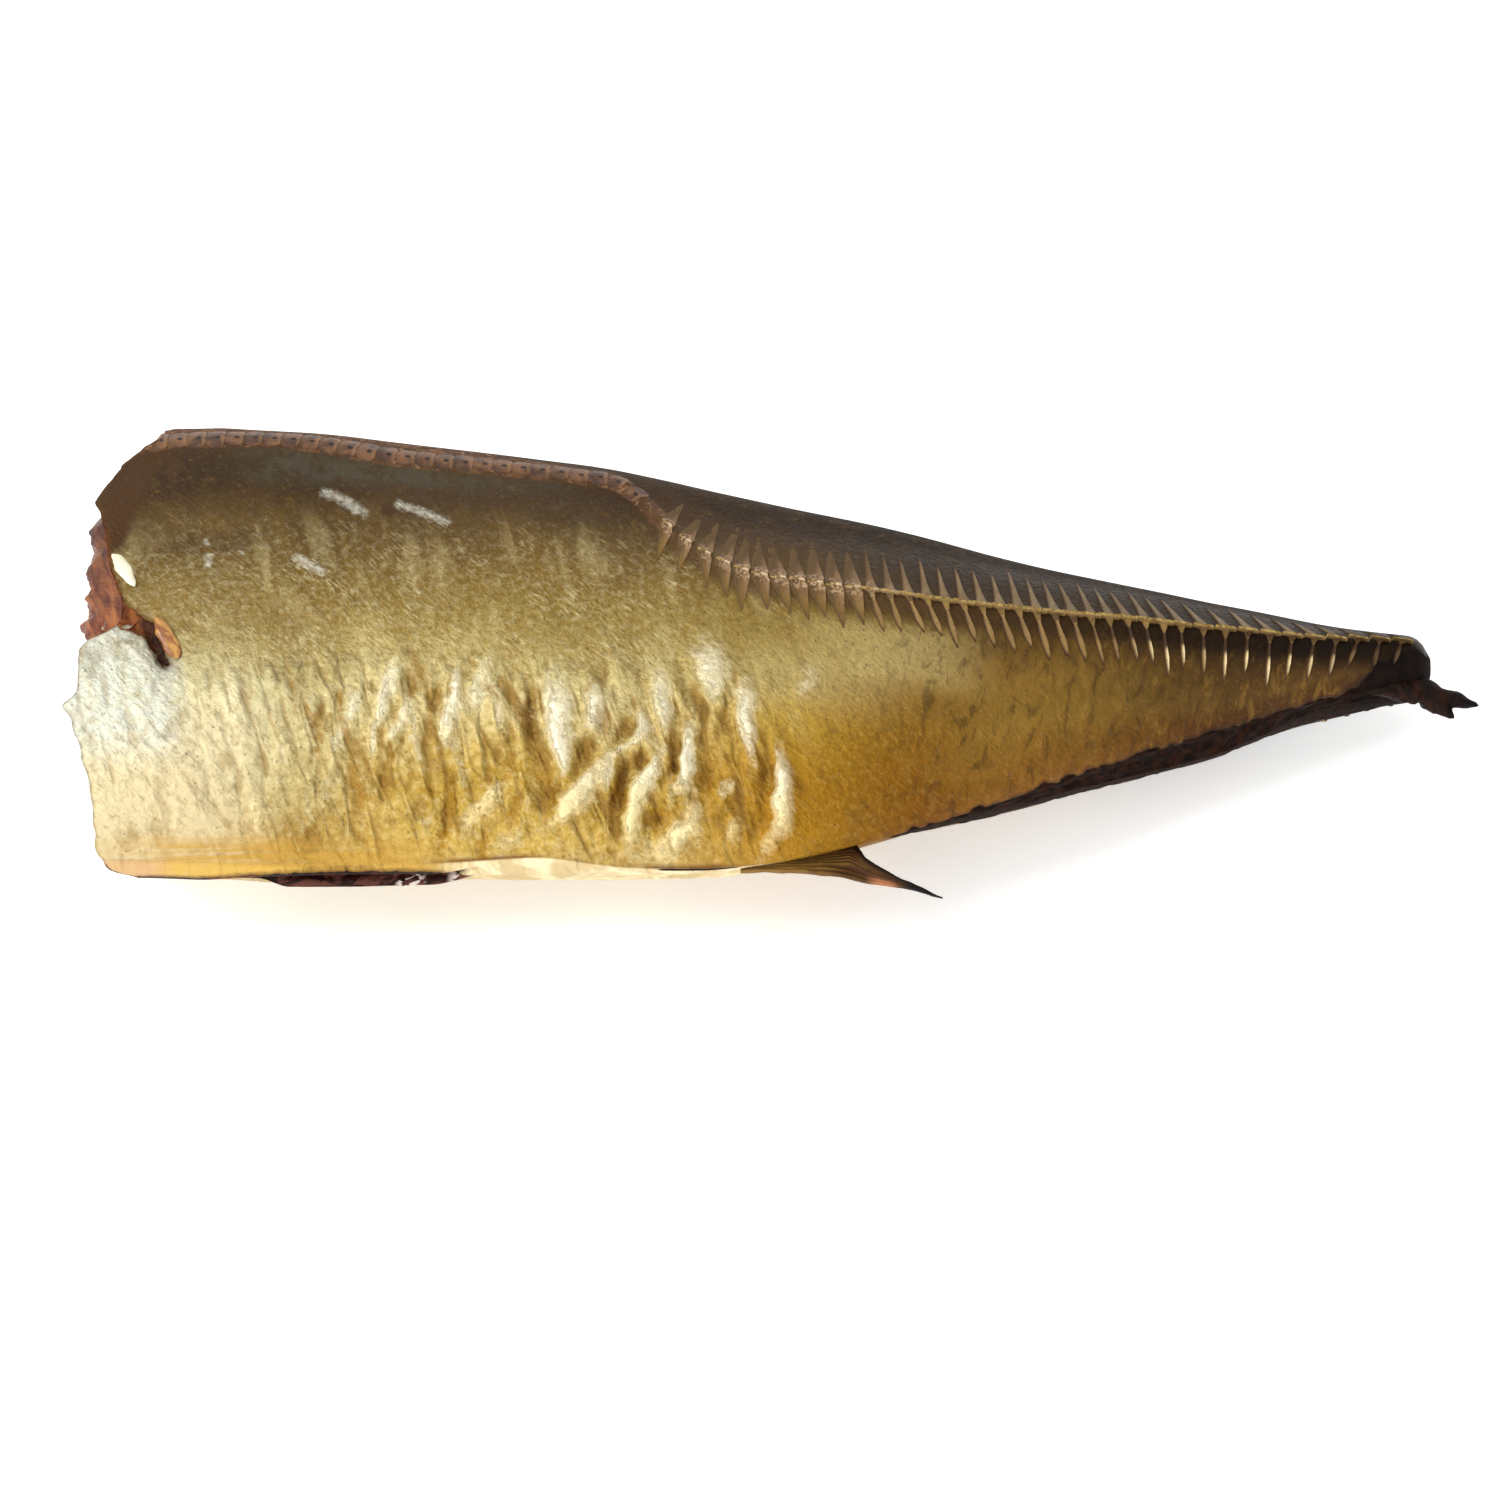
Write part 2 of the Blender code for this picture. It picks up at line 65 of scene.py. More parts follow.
# Folds of the slack belly skin: the height, the half width and then x, v of each point of the crest
FOLDS = (
    (1.2, 1.2, -56, -17.6, -57, -23.6, -58, -27.4), (1.1, 1, -53, -22.4, -55.6, -30.2),
    (0.8, 0.8, -52.3, -26.6, -51, -31.6), (1.1, 1.2, -46, -17.8, -47, -25.1, -48.6, -29),
    (0.9, 1.1, -42, -16.6, -43.6, -24.4), (0.5, 1, -46.3, -19, -46.3, -24),
    (0.6, 0.9, -46.6, -29.4, -45.4, -36), (0.9, 1.1, -38.6, -33.8, -46, -38.8),
    (1.5, 1.8, -32.5, -20, -31.5, -25, -31, -30, -30.8, -35), (1.3, 1.2, -27, -20, -26, -27),
    (1.7, 1.4, -24.6, -31, -27.2, -34.6, -30.2, -37.2, -33.2, -39), (0.6, 0.9, -24.5, -28, -23.5, -35.5),
    (0.9, 0.9, -23.8, -36.5, -23.8, -40), (1.4, 1.1, -19.2, -23.5, -18.8, -26.8, -21.3, -28.6, -22.3, -30),
    (1.9, 1.3, -16.6, -29, -18.5, -33, -20.5, -37, -21.2, -41),
    (1.2, 1.2, -16.6, -18, -15.8, -23, -15.6, -27.5), (1.8, 1.2, -12, -25.5, -12.3, -31, -14.3, -35),
    (1.4, 1.2, -11.2, -35, -12, -38, -14.5, -40, -18, -41), (0.8, 0.9, -35, -35, -37.5, -39.9, -40.8, -41),
    (1.1, 1.9, -10.7, -12.5, -8, -21.5), (1.3, 1.2, -4.3, -18.5, -3.8, -24, -3.2, -29.5),
    (1.3, 1.1, 0.3, -27, 1.3, -33, 0.8, -37, -1.5, -39.5), (0.8, 0.9, -5, -36.5, -7, -39.5),
    (0.5, 1.4, 5, -14.5, 5, -19.5), (0.6, 1.2, -5.5, -31.5, -8.5, -34.5),
    (1, 1, -61.4, -21.8, -62, -24.7, -64.2, -29.4), (0.7, 0.9, -58.5, -27.4, -58.5, -30.8),
    (0.6, 0.9, -75, -36, -75.6, -40.8), (0.4, 0.7, -76.6, -35.1, -76, -38),
    (0.5, 0.9, -68, -34.8, -67.5, -38.4), (0.5, 0.9, -40.5, -20.5, -40, -27.5),
    (0.4, 0.8, -37, -22.5, -37.4, -29.5), (0.4, 0.9, -50, -36.5, -50.6, -40),
    (0.4, 0.9, -64, -31.5, -65, -36.5), (0.4, 1.2, -66.5, -22, -68, -29), (0.35, 1.2, -71, -26, -72.4, -33),
    (0.3, 1.4, -79, -20, -80.5, -27),
)
# Hollows between the folds: the depth, the half width, how dark their painted shade is, and the points
HOLLOWS = (
    (0.35, 0.9, 0.6, -65.5, -24, -66.5, -31), (0.35, 0.8, 0.6, -63.5, -21.5, -63.2, -24),
    (0.6, 1.3, 0.8, -62, -26, -61, -34, -60, -39.5), (0.4, 0.8, 0.8, -57, -26, -56.5, -29.5),
    (0.4, 0.7, 0.8, -55, -23, -55, -25.5), (0.5, 0.9, 0.9, -53, -27.5, -57, -32),
    (0.4, 0.9, 0.7, -58, -33, -56, -36), (0.4, 0.9, 0.7, -49.5, -21, -49.5, -24),
    (0.4, 0.8, 0.7, -50.4, -26.5, -50.4, -29.5), (0.5, 1.1, 0.8, -47, -32, -47, -38, -48.5, -42),
    (0.3, 0.9, 0.6, -50, -34.5, -50, -36), (0.8, 1.1, 1, -35, -21, -35, -28),
    (0.4, 1.3, 0.7, -38.5, -28, -38.5, -33), (0.7, 1.1, 0.8, -33.5, -30, -31.8, -38),
    (0.4, 1.4, 0.6, -37.5, -35.5, -37.5, -40), (0.3, 0.9, 0.7, -42, -39.5, -42, -42),
    (0.8, 1.3, 0.9, -26.5, -28, -28, -31, -30, -34), (0.6, 1, 0.8, -22.3, -24.5, -20.8, -28),
    (1.1, 1, 1.3, -20.5, -29, -22.3, -33, -23, -38), (0.9, 0.8, 1.4, -19, -28.3, -18.8, -31),
    (0.5, 1.1, 0.6, -27, -37.5, -31, -39.8), (0.6, 1.2, 0.8, -18.5, -36, -15.5, -39.5),
    (0.9, 0.9, 1.1, -15, -28, -13.8, -33), (0.5, 0.8, 0.8, -13.5, -24.5, -13.5, -28),
    (0.8, 1.2, 0.9, -10, -26, -9.5, -37), (0.7, 1, 0.9, -1.5, -25, -0.8, -32),
    (0.4, 1.3, 0.6, -7, -22, -6, -25), (0.4, 0.9, 0.6, -6, -34.5, -6, -36.5),
    (0.5, 1, 0.7, -3.5, -35, -1, -38), (0.15, 1.7, 0.5, -38, -10, -37.5, -19.5),
    (0.1, 1.2, 0.4, -44, -15, -44, -20), (0.1, 1.6, 0.45, -27, -12, -25.5, -19),
    (0.1, 1.4, 0.3, -20.5, -12, -19.5, -20),
)
# Sunken lines of the skin: the depth, the half width and the points
CREASES = (
    (0.3, 0.6, 25, -28.3, 38.5, -25.4), (0.18, 0.6, 1.5, -38.7, 11.5, -35.9, 19, -33.3),
    (0.45, 0.9, -87, -26.9, -89, -28.7), (0.25, 1.1, -89, -29.8, -89.4, -33),
    (0.4, 1.3, -83, -36.6, -82.6, -35.8),
)
WARTS = ((-77.2, -27.5), (-77.6, -30), (-92.3, -30), (-85, -35.5))
WART_RADIUS, WART_HEIGHT = 0.7, 0.5
# Stains: the half width, how dark each is, and the points
STAINS = (
    (1.1, 1, -57, 9.2, -57, 8.4), (1.5, 0.4, -88.8, -28, -86.6, -25.5),
    (1.7, 0.28, -89.3, -31, -89.3, -33.5), (1.4, 0.35, -83, -36, -83, -37.5),
    (3.4, 0.9, -93.5, 23, -97, 12, -98.6, 4), (1.3, 0.6, -90, 16, -90, 20), (1.5, 0.5, -81.5, 1, -81.5, 4),
    (4, 0.42, -93, 4, -88, 2.5, -77, 3), (2.2, 0.3, -59, 0, -59, 6), (2.6, 0.3, 16, -18.4, 19, -24.6),
    (2.4, 0.3, 24, -27, 30, -24),
)

# Head cut: its edge leans back towards the nape and the belly
NAPE_V = np.array([4, 10, 14, 18, 22, 26, 30, 34.6])
NAPE_BACK = np.array([0, 0.6, 1.7, 3.2, 5.4, 8.3, 9.6, 11.6])
# The knife lay aslant, so below the nape the edge follows the slanting height v + KNIFE_SLANT w
KNIFE_SLANT = 0.7
THROAT_AT = np.array([-43, -42.3, -41.6, -39, -34, -31, -25, -19.7, -14.7, -10, -2.6, 6])
THROAT_BACK = np.array([9.6, 8.2, 5.8, 3.7, 2.9, 2.6, 1.8, 0.7, -0.6, -0.4, 0, 0.3])
FLESH_AT = np.array([-1.2, 0.6, 1.9, 4.1, 6.3, 9.5, 11.6, 14.7, 19.7, 22.6, 25.5])
SKIN_RECESS = np.array([0, 1.2, 3.5, 5.6, 5.8, 4.9, 4.2, 3.1, 2.4, 1.4, 0])
CUT_FADE, CUT_ROUGHNESS = 26, 0.9
NUB_AT, NUB_HALF, NUB_OUT = -11.2, 1.5, 1.7

# Pit that the breast fin was torn from, and the pale scuffs on the shoulder, with the half width first
PIT = (-98, -8, -95.6, -9.6, -93.5, -10.8, -91.8, -11.8, -90.8, -14.2, -89.2, -17.2)
PIT_DEPTH, PIT_HALF_WIDTH, PIT_BARE = 1.7, 1.5, 2.1
SCUFFS = (
    (1.4, -66.5, 11.9, -63.5, 10.3, -61, 8.1), (1.2, -55.6, 10, -52, 8.7, -48.6, 6.8),
    (0.9, -83.5, 0, -83.5, -1.5), (0.6, -84.3, 3, -83.8, 2.5), (0.6, -78.8, 0.7, -78.3, 0.4),
    (1.3, -70.2, -0.6, -66.6, -3),
)

RING_RUNS = ((-84, 0.5), (12, 0.4), (100, 0.75))
UPPER_POINTS, LOWER_POINTS, LIP_STEPS, WALL_STEPS = 150, 40, 6, 7
STRIP_STARTS, SCAR_FROM, SCAR_TO, SCAR_HALF_WIDTH = 18, -56, 97, 1.1
ROUND_FROM, ROUND_SPAN = 97.2, 4.1


def along(stations, values, x):
    """A smooth curve through the values, a cubic from each station to the next."""
    x = np.clip(x, stations[0], stations[-1])
    step = np.diff(stations)
    rate = np.diff(values) / step
    slope = np.concatenate([rate[:1], np.empty(len(rate) - 1), rate[-1:]])
    slope[1:-1] = (rate[:-1] * step[1:] + rate[1:] * step[:-1]) / (step[1:] + step[:-1])
    i = np.clip(np.searchsorted(stations, x, side="right") - 1, 0, len(step) - 1)
    t = (x - stations[i]) / step[i]
    ends = (1 + 2 * t) * (1 - t) ** 2 * values[i] + t * t * (3 - 2 * t) * values[i + 1]
    return ends + step[i] * (t * (1 - t) ** 2 * slope[i] + t * t * (t - 1) * slope[i + 1])


def at(values, x):
    """A measure at x, from its values at the stations."""
    return along(STATION_X, values, x)


def ease(low, high, x):
    """0 below low, 1 above high and smooth between."""
    t = np.clip((x - low) / (high - low), 0, 1)
    return t * t * (3 - 2 * t)


def line_v(x):
    """The height of the lateral line."""
    return along(LINE_X, LINE_V, x)


def between(low, high, blend, x):
    """1 from low to high and 0 outside, with soft ends."""
    return ease(low - blend, low + blend, x) * (1 - ease(high - blend, high + blend, x))


def place(x, v, w, lowest=0):
    """Points (x, v, w) of the body in the frame, in metres. What would lie lower is pressed flat."""
    roll = np.radians(at(ROLL_DEGREES, x))
    y = at(CENTRE_Y, x) + v * np.cos(roll) - w * np.sin(roll)
    z = at(CENTRE_Z, x) + v * np.sin(roll) + w * np.cos(roll)
    return np.stack([x + TO_CENTRE[0], y + TO_CENTRE[1], np.maximum(z, lowest)], axis=-1) * MM


def unevenness(x, v, seed):
    """Smooth noise of about -0.5 to 0.5 at each (x, v)."""
    flat = [noise.noise(Vector((a, b, seed))) for a, b in zip(np.ravel(x), np.ravel(v))]
    return np.reshape(flat, np.shape(x))


def flank(x, side, count):
    """One side of the section at x, from the back edge to the belly crease: v, w and the length run so far.
    The points lie closer towards the belly."""
    half = at(HALF_WIDTH, x)
    belly = at(BELLY_DEPTH, x)
    lip = at(UPPER_LIP, x) + FLAP_RISE * bump(x - FLAP_AT, FLAP_HALF)
    if side < 0:
        belly = belly - at(LOWER_TUCK, x)
        lip = at(LOWER_LIP, x)
    back_bend = 2 / at(BACK_POWER, x)
    belly_bend = 2 / at(BELLY_POWER, x)
    t = np.linspace(0, math.pi / 2, 160)
    sine, cosine = np.sin(t), np.clip(np.cos(t), 0, 1)
    v = np.concatenate([at(BACK_DEPTH, x) * cosine**back_bend, (-belly * sine**belly_bend)[1:]])
    w = np.concatenate([half * sine**back_bend, (lip + (half - lip) * cosine**belly_bend)[1:]])
    arc = np.concatenate([[0], np.cumsum(np.hypot(np.diff(v), np.diff(w)))])
    share = np.linspace(0, 1, count)
    run = arc[-1] * (share + 0.22 * np.sin(math.pi * share) / math.pi)
    return np.interp(run, arc, v), side * np.interp(run, arc, w), run


def stroke(x, v, line):
    """Of a line on the skin, given as x, v, x, v and so on: the distance from it, the same with a minus on
    the head's side, and the share along it."""
    points = list(zip(line[::2], line[1::2]))
    best = np.full(np.shape(x), 1e9)
    signed = best.copy()
    part = np.zeros(np.shape(x))
    legs = list(zip(points, points[1:]))
    for number, (start, end) in enumerate(legs):
        run = (end[0] - start[0], end[1] - start[1])
        length = math.hypot(*run)
        reach = ((x - start[0]) * run[0] + (v - start[1]) * run[1]) / length**2
        share = np.clip(reach, 0, 1)
        off_x = x - start[0] - share * run[0]
        off_v = v - start[1] - share * run[1]
        distance = np.hypot(off_x, off_v)
        side = np.where(run[1] * off_x < run[0] * off_v, 1, -1) * (1 if run[1] < 0 else -1)
        nearer = distance < best
        best = np.where(nearer, distance, best)
        signed = np.where(nearer, distance * -side, signed)
        part = np.where(nearer, (number + share) / len(legs), part)
    return best, signed, part


def bump(distance, half_width):
    """A smooth rise, 1 where the distance is 0."""
    return np.exp(-((distance / half_width) ** 2))


def belly_folds(x, v):
    """The folds' lift in mm, and a mark for the painted highlight and shade: 1 on a crest and below 0 in the
    hollow behind it. Each crest slopes gently to the head and drops steeply to the tail."""
    warp_x = x + 0.9 * unevenness(x / 5, v / 5, 11.3) + 0.5 * unevenness(x / 1.7, v / 1.7, 4.7)
    warp_v = v + 0.8 * unevenness(x / 4, v / 4, 16.9)
    lift = np.zeros(np.shape(x))
    mark = np.zeros(np.shape(x))
    for height, half, *line in FOLDS:
        distance, signed, part = stroke(warp_x, warp_v, line)
        taper = np.sin(math.pi * np.clip(part * 0.9 + 0.05, 0, 1)) ** 0.6
        reach = np.where(signed < 0, 1.5 * half, 0.85 * half)
        crest = np.exp(-((distance / reach) ** 1.7))
        near = ease(4.2 * half, 2.4 * half, distance)
        hollow = bump(signed - 1.9 * half, 0.8 * half) * near
        front = bump(signed + 2.9 * half, 1.2 * half) * near
        lift += height * taper * (crest - 0.3 * hollow - 0.1 * front)
        mark += height * taper * (crest - 0.4 * hollow - 0.1 * front)
    for depth, half, hollow_shade, *line in HOLLOWS:
        distance, _, part = stroke(warp_x, warp_v, line)
        taper = np.sin(math.pi * np.clip(part * 0.8 + 0.1, 0, 1)) ** 0.6
        lift -= depth * taper * bump(distance, half)
        mark -= hollow_shade * taper * bump(distance, half)
    return lift, mark


def small_relief(x, v):
    """Ripples, creases, warts and muscle ridges of the shown flank, in mm."""
    slack = between(-88, 6, 9, x) * between(-41, -17, 5, v)
    ripple = 1 - np.abs(4 * unevenness((x + 0.3 * v) / 3.2, v / 9, 3.1))
    cross_ripple = 1 - np.abs(4 * unevenness(x / 6, (v - 0.4 * x) / 4.5, 21.7))
    lift = slack * (0.2 * ripple + 0.12 * cross_ripple + 0.3 * unevenness(x / 1.6, v / 2.6, 7.7))
    ribs = between(-104, -80, 5, x) * between(-32, -13, 4, v)
    lift += 0.13 * ribs * np.sin(2 * math.pi * (x + v) / 2.3 + 7 * unevenness(x / 5, v / 5, 13.1))
    lift += 0.12 * unevenness(x / 0.95, v / 0.95, 31.3) * between(-104, 10, 8, x) * between(-44, 12, 6, v)
    lift += 0.5 * unevenness(x / 17, v / 13, 1.3)
    across = (x * 3.6 - v * 2.5) / 4.4
    lift += 0.1 * between(26, 62, 6, x) * between(-26, -13, 3, v) * np.sin(2 * math.pi * across / 2.5)
    for depth, half, *line in CREASES:
        distance, _, part = stroke(x, v, line)
        lift -= depth * np.sin(math.pi * np.clip(part * 0.8 + 0.1, 0, 1)) * bump(distance, half)
    for spot in WARTS:
        lift += WART_HEIGHT * bump(np.hypot(x - spot[0], v - spot[1]), WART_RADIUS)
    return lift


def cut_back(v, w):
    """How far behind x -102 the knife cut at (v, w), and how far the skin has shrunk back from it there."""
    slant = v + KNIFE_SLANT * w
    knife = along(NAPE_V, NAPE_BACK, v) + along(THROAT_AT, THROAT_BACK, slant)
    return knife, along(FLESH_AT, SKIN_RECESS, slant)


def head_x(x, v, w):
    """Where the ring at x lies at (v, w), after the lean, shrinking and raggedness of the head cut."""
    fade = 1 - ease(0, CUT_FADE, x - HEAD_X)
    near = 1 - ease(0, 6, x - HEAD_X)
    knife, shrunk = cut_back(v, w)
    nub = NUB_OUT * bump(v + KNIFE_SLANT * w - NUB_AT, NUB_HALF) * (w > 8)
    ragged = CUT_ROUGHNESS * unevenness(v / 3, w / 3, 0.5) + 0.35 * unevenness(v / 1.1, w / 1.1, 4.5)
    return x + fade * (knife + shrunk) + near * (ragged * (0.4 + 0.6 * ease(4, 14, v)) - nub)


def belly_walls(x, upper, lower):
    """The section between the creases: v, w, distance from the skin's cut edge, and how far it is lining."""
    part = np.linspace(0, 1, 2 * (LIP_STEPS + WALL_STEPS) + 1)[1:-1]
    width = math.hypot(upper[0] - lower[0], upper[1] - lower[1])
    bare = ease(STRIP_STARTS - 3, STRIP_STARTS + 2, x)
    lean = STRIP_HOLLOW * bare - 0.5 * (1 - bare) * between(-48, -6, 4, x)
    strip_v = upper[0] + (lower[0] - upper[0]) * part + lean * np.sin(math.pi * part**0.7)
    strip_w = upper[1] + (lower[1] - upper[1]) * part
    red_gap = between(-17, -4, 2, x) * bump(part * width - 0.5, 0.6)
    strip_edge = (3 - 4.4 * red_gap) * (1 - bare) - (0.2 + width * part) * bare
    gap = at(SLIT_HALF_GAP, x)
    share = np.linspace(0, 1, LIP_STEPS + 1)[1:]
    depth = np.linspace(0, 1, WALL_STEPS + 1)[1:-1]
    lined = ease(-72.5, -68, x) * (1 - ease(-43, -40.5, x))
    raised = 1.6 * (1 - ease(-76, -71, x))
    sides = []
    for v, w in (upper, lower):
        side = math.copysign(1, w)
        hanging = lined * (side < 0)
        bulge = LIP_BULGE * np.sin(math.pi / 2 * share) ** 0.8
        lip_v = v + (upper[0] + raised - v) * share * (side < 0) - bulge
        sag = 0.2 + 0.4 * unevenness(x / 4 + 0 * share, share * 2, 27.1)
        lip_v = lip_v - hanging * sag * np.sin(math.pi * share)
        lip_w = w + (side * gap - w) * share
        wall_v = lip_v[-1] + SLIT_DEPTH * depth
        wall_w = side * gap * (1 - depth)
        lip_edge = (abs(w) - gap) * (1 - share) - 0.5 - 6 * np.sign(hanging)
        sides.append(
            (
                np.concatenate([lip_v, wall_v]),
                np.concatenate([lip_w, wall_w]),
                np.concatenate([lip_edge, -0.7 - SLIT_DEPTH * depth]),
                np.concatenate([np.sign(hanging) + 0 * share, np.maximum(depth, 0.3)]),
            )
        )
    roof = (upper[0] + SLIT_DEPTH, 0, -SLIT_DEPTH, 1)
    slit_v, slit_w, slit_edge, deep = (
        np.concatenate([near, [top], far[::-1]]) for near, top, far in zip(sides[0], roof, sides[1])
    )
    shut = ease(*SLIT_CLOSES, x)
    edge = slit_edge * (1 - shut) + strip_edge * shut
    v = slit_v * (1 - shut) + strip_v * shut
    w = slit_w * (1 - shut) + strip_w * shut
    return v, w, edge, deep * (1 - shut)


def lifted(v, w, side, lift):
    """A flank's rows moved out of the section by the lift, but not at the edges and the head's end."""
    lift[:, [0, -1]] = 0
    run_v = np.gradient(v, axis=1)
    run_w = np.gradient(w, axis=1)
    length = np.hypot(run_v, run_w)
    keep_head = ease(0, 1.5, wide_x - HEAD_X)
    return v + (-run_w / length * -side) * lift * keep_head, w + (run_v / length * -side) * lift * keep_head


def ring_places():
    """The x of each ring of the skin, closest together in the middle, where the folds are."""
    places = [HEAD_X]
    for last, spacing in RING_RUNS:
        count = round((last - places[-1]) / spacing)
        places.extend(np.linspace(places[-1], last, count + 1)[1:])
    return np.array(places)


ring_x = ring_places()
upper_v, upper_w, upper_run = (np.array(rows) for rows in zip(*[flank(x, 1, UPPER_POINTS) for x in ring_x]))
lower_v, lower_w, lower_run = (np.array(rows) for rows in zip(*[flank(x, -1, LOWER_POINTS) for x in ring_x]))
wide_x = ring_x[:, None]
upper_x = head_x(wide_x + 0 * upper_v, upper_v, upper_w)
lower_x = head_x(wide_x + 0 * lower_v, lower_v, lower_w)

# How far each point lies inside the edge of the skin, in mm: below 0 the flesh is bare
LOWER_BARE = 5
past_slit = ease(*SLIT_CLOSES, wide_x)
at_strip = ease(STRIP_STARTS - 3, STRIP_STARTS + 2, wide_x)
crease_edge = (at(UPPER_LIP, wide_x) - at(SLIT_HALF_GAP, wide_x) - 0.5) * (1 - past_slit) + 3 * past_slit
scar = SCAR_HALF_WIDTH * (2.2 * between(SCAR_FROM, SCAR_TO, 4, wide_x) - 1.2)


def skin_edge(x, v, run, below):
    """The distance from the nearest bare place on a flank, and from the belly crease."""
    from_belly = run[:, -1:] - run
    ragged = 1.1 * unevenness(x / 2.4, v / 2.4, 9.1) + 0.5 * unevenness(x / 0.9, v / 0.9, 3.3)
    belly = from_belly + (crease_edge - 0.1) * (1 - at_strip) - below * at_strip
    belly = belly + ragged * (0.3 + 0.7 * at_strip)
    back = run - scar + 0.7 * unevenness(x / 1.9, v / 1.9, 2.9)
    head = wide_x - HEAD_X - 0.3 + 1.1 * ease(-8, -15, v) + 0.5 * ease(5, 9, v)
    tail = 0.6 * (97.6 + 1.6 * v - x) + 1.2 * unevenness(x / 2, v / 2, 7.7) + 30 * ease(-1.4, 0.4, v)
    tail = np.minimum(tail, TAIL_X - wide_x)
    return np.minimum(np.minimum(belly, back), np.minimum(head, tail)), from_belly


upper_edge, upper_from_belly = skin_edge(upper_x, upper_v, upper_run, 0.2)
lower_edge, lower_from_belly = skin_edge(lower_x, lower_v, lower_run, LOWER_BARE)
pit_distance, _, pit_part = stroke(upper_x, upper_v, PIT)
pit_edge = pit_distance - PIT_BARE * (1 - 0.75 * pit_part) + 0.5 * unevenness(upper_x, upper_v, 6.1)
upper_edge = np.minimum(upper_edge, pit_edge)

fold_lift, upper_fold = belly_folds(upper_x, upper_v)
line_rise_upper = 0.45 * bump(upper_v - line_v(upper_x), 2.2)
line_rise_lower = 0.45 * bump(lower_v - line_v(lower_x), 2.2)
seam_zone = 1 - ease(-8, -2, wide_x)
upper_seam = bump(upper_from_belly, 0.45) * seam_zone
upper_lift = (fold_lift + small_relief(upper_x, upper_v)) * ease(0.3, 3, upper_from_belly) + line_rise_upper
upper_lift -= 0.35 * upper_seam
upper_lift -= PIT_DEPTH * (0.15 + 0.85 * pit_part) * bump(pit_distance, PIT_HALF_WIDTH)
upper_lift -= 0.3 * (1 - ease(-0.3, 0.3, upper_edge)) * (upper_edge < 0.4)
lower_lift = line_rise_lower + 0.35 * unevenness(lower_x / 12, lower_v / 12, 5.3)
lower_lift -= 0.3 * (1 - ease(-0.3, 0.3, lower_edge))
upper_v, upper_w = lifted(upper_v, upper_w, 1, upper_lift)
lower_v, lower_w = lifted(lower_v, lower_w, -1, lower_lift)

walls = [
    belly_walls(x, (uv[-1], uw[-1]), (lv[-1], lw[-1]))
    for x, uv, uw, lv, lw in zip(ring_x, upper_v, upper_w, lower_v, lower_w)
]
wall_v, wall_w, wall_edge, wall_deep = (np.array([wall[i] for wall in walls]) for i in range(4))
wall_x = head_x(wide_x + 0 * wall_v, wall_v, wall_w)
wall_edge = np.minimum(wall_edge, wide_x - HEAD_X - 0.3)
wall_edge = np.minimum(wall_edge, 100.3 - wide_x)
rough_strip = ease(STRIP_STARTS - 2, STRIP_STARTS + 6, wide_x) * ease(0, 1.2, -wall_edge)
wall_v = wall_v + rough_strip * (0.7 * unevenness(wall_x / 2.2, wall_w / 1.6, 8.3))
wall_v = wall_v + 0.35 * rough_strip * unevenness(wall_x / 0.9, wall_w / 0.8, 3.9)
wall_width = np.hypot(upper_v[:, -1] - lower_v[:, -1], upper_w[:, -1] - lower_w[:, -1])[:, None]
wall_part = np.linspace(0, 1, wall_v.shape[1] + 2)[None, 1:-1]
wall_seam = bump(wall_part * wall_width, 0.3) * seam_zone * past_slit


def joined(upper, wall, lower):
    """Upper flank, slit walls and lower flank as the loops of the skin."""
    return np.concatenate([upper, wall, lower[:, :0:-1]], axis=1)


skin_x = joined(upper_x, wall_x, lower_x)
skin_v = joined(upper_v, wall_v, lower_v)
skin_w = joined(upper_w, wall_w, lower_w)
edge_mm = joined(upper_edge, wall_edge, lower_edge)
fold_mark = joined(upper_fold, 0 * wall_v, 0 * lower_v)
seam_mark = joined(upper_seam, wall_seam, 0 * lower_v)
slit_deep = joined(0 * upper_v, wall_deep, 0 * lower_v)
flap_mark = joined(0 * upper_v, 1 + 0 * wall_v, ease(6, 3, lower_from_belly))
upper_start, lower_start = (
    np.array([np.interp(0, -v, run) for v, run in zip(rows_v, rows_run)])[:, None]
    for rows_v, rows_run in ((upper_v, upper_run), (lower_v, lower_run))
)
wall_turn = (upper_start - upper_run[:, -1:]) * np.ones(wall_v.shape) - wall_part * 4
skin_turn = joined(upper_start - upper_run, wall_turn, lower_start - lower_run)
scuff = np.zeros(np.shape(skin_v))
for half, *line in SCUFFS:
    scuff = np.maximum(scuff, bump(stroke(skin_x, skin_v, line)[0], half) * (skin_w > 0))
stain = np.zeros(np.shape(skin_v))
for half, dark, *line in STAINS:
    stain = np.maximum(stain, dark * bump(stroke(skin_x, skin_v, line)[0], half) * (skin_w > 0))
body_height = np.where(skin_v > 0, skin_v / at(BACK_DEPTH, skin_x), skin_v / at(BELLY_DEPTH, skin_x))
line_mm = skin_v - line_v(skin_x)

# The end of the tail stalk is rounded off
rounding = np.sqrt(np.clip(1 - (np.clip(wide_x - ROUND_FROM, 0, 99) / ROUND_SPAN) ** 2.6, 0, 1))
skin_v = skin_v * rounding
skin_w = skin_w * rounding


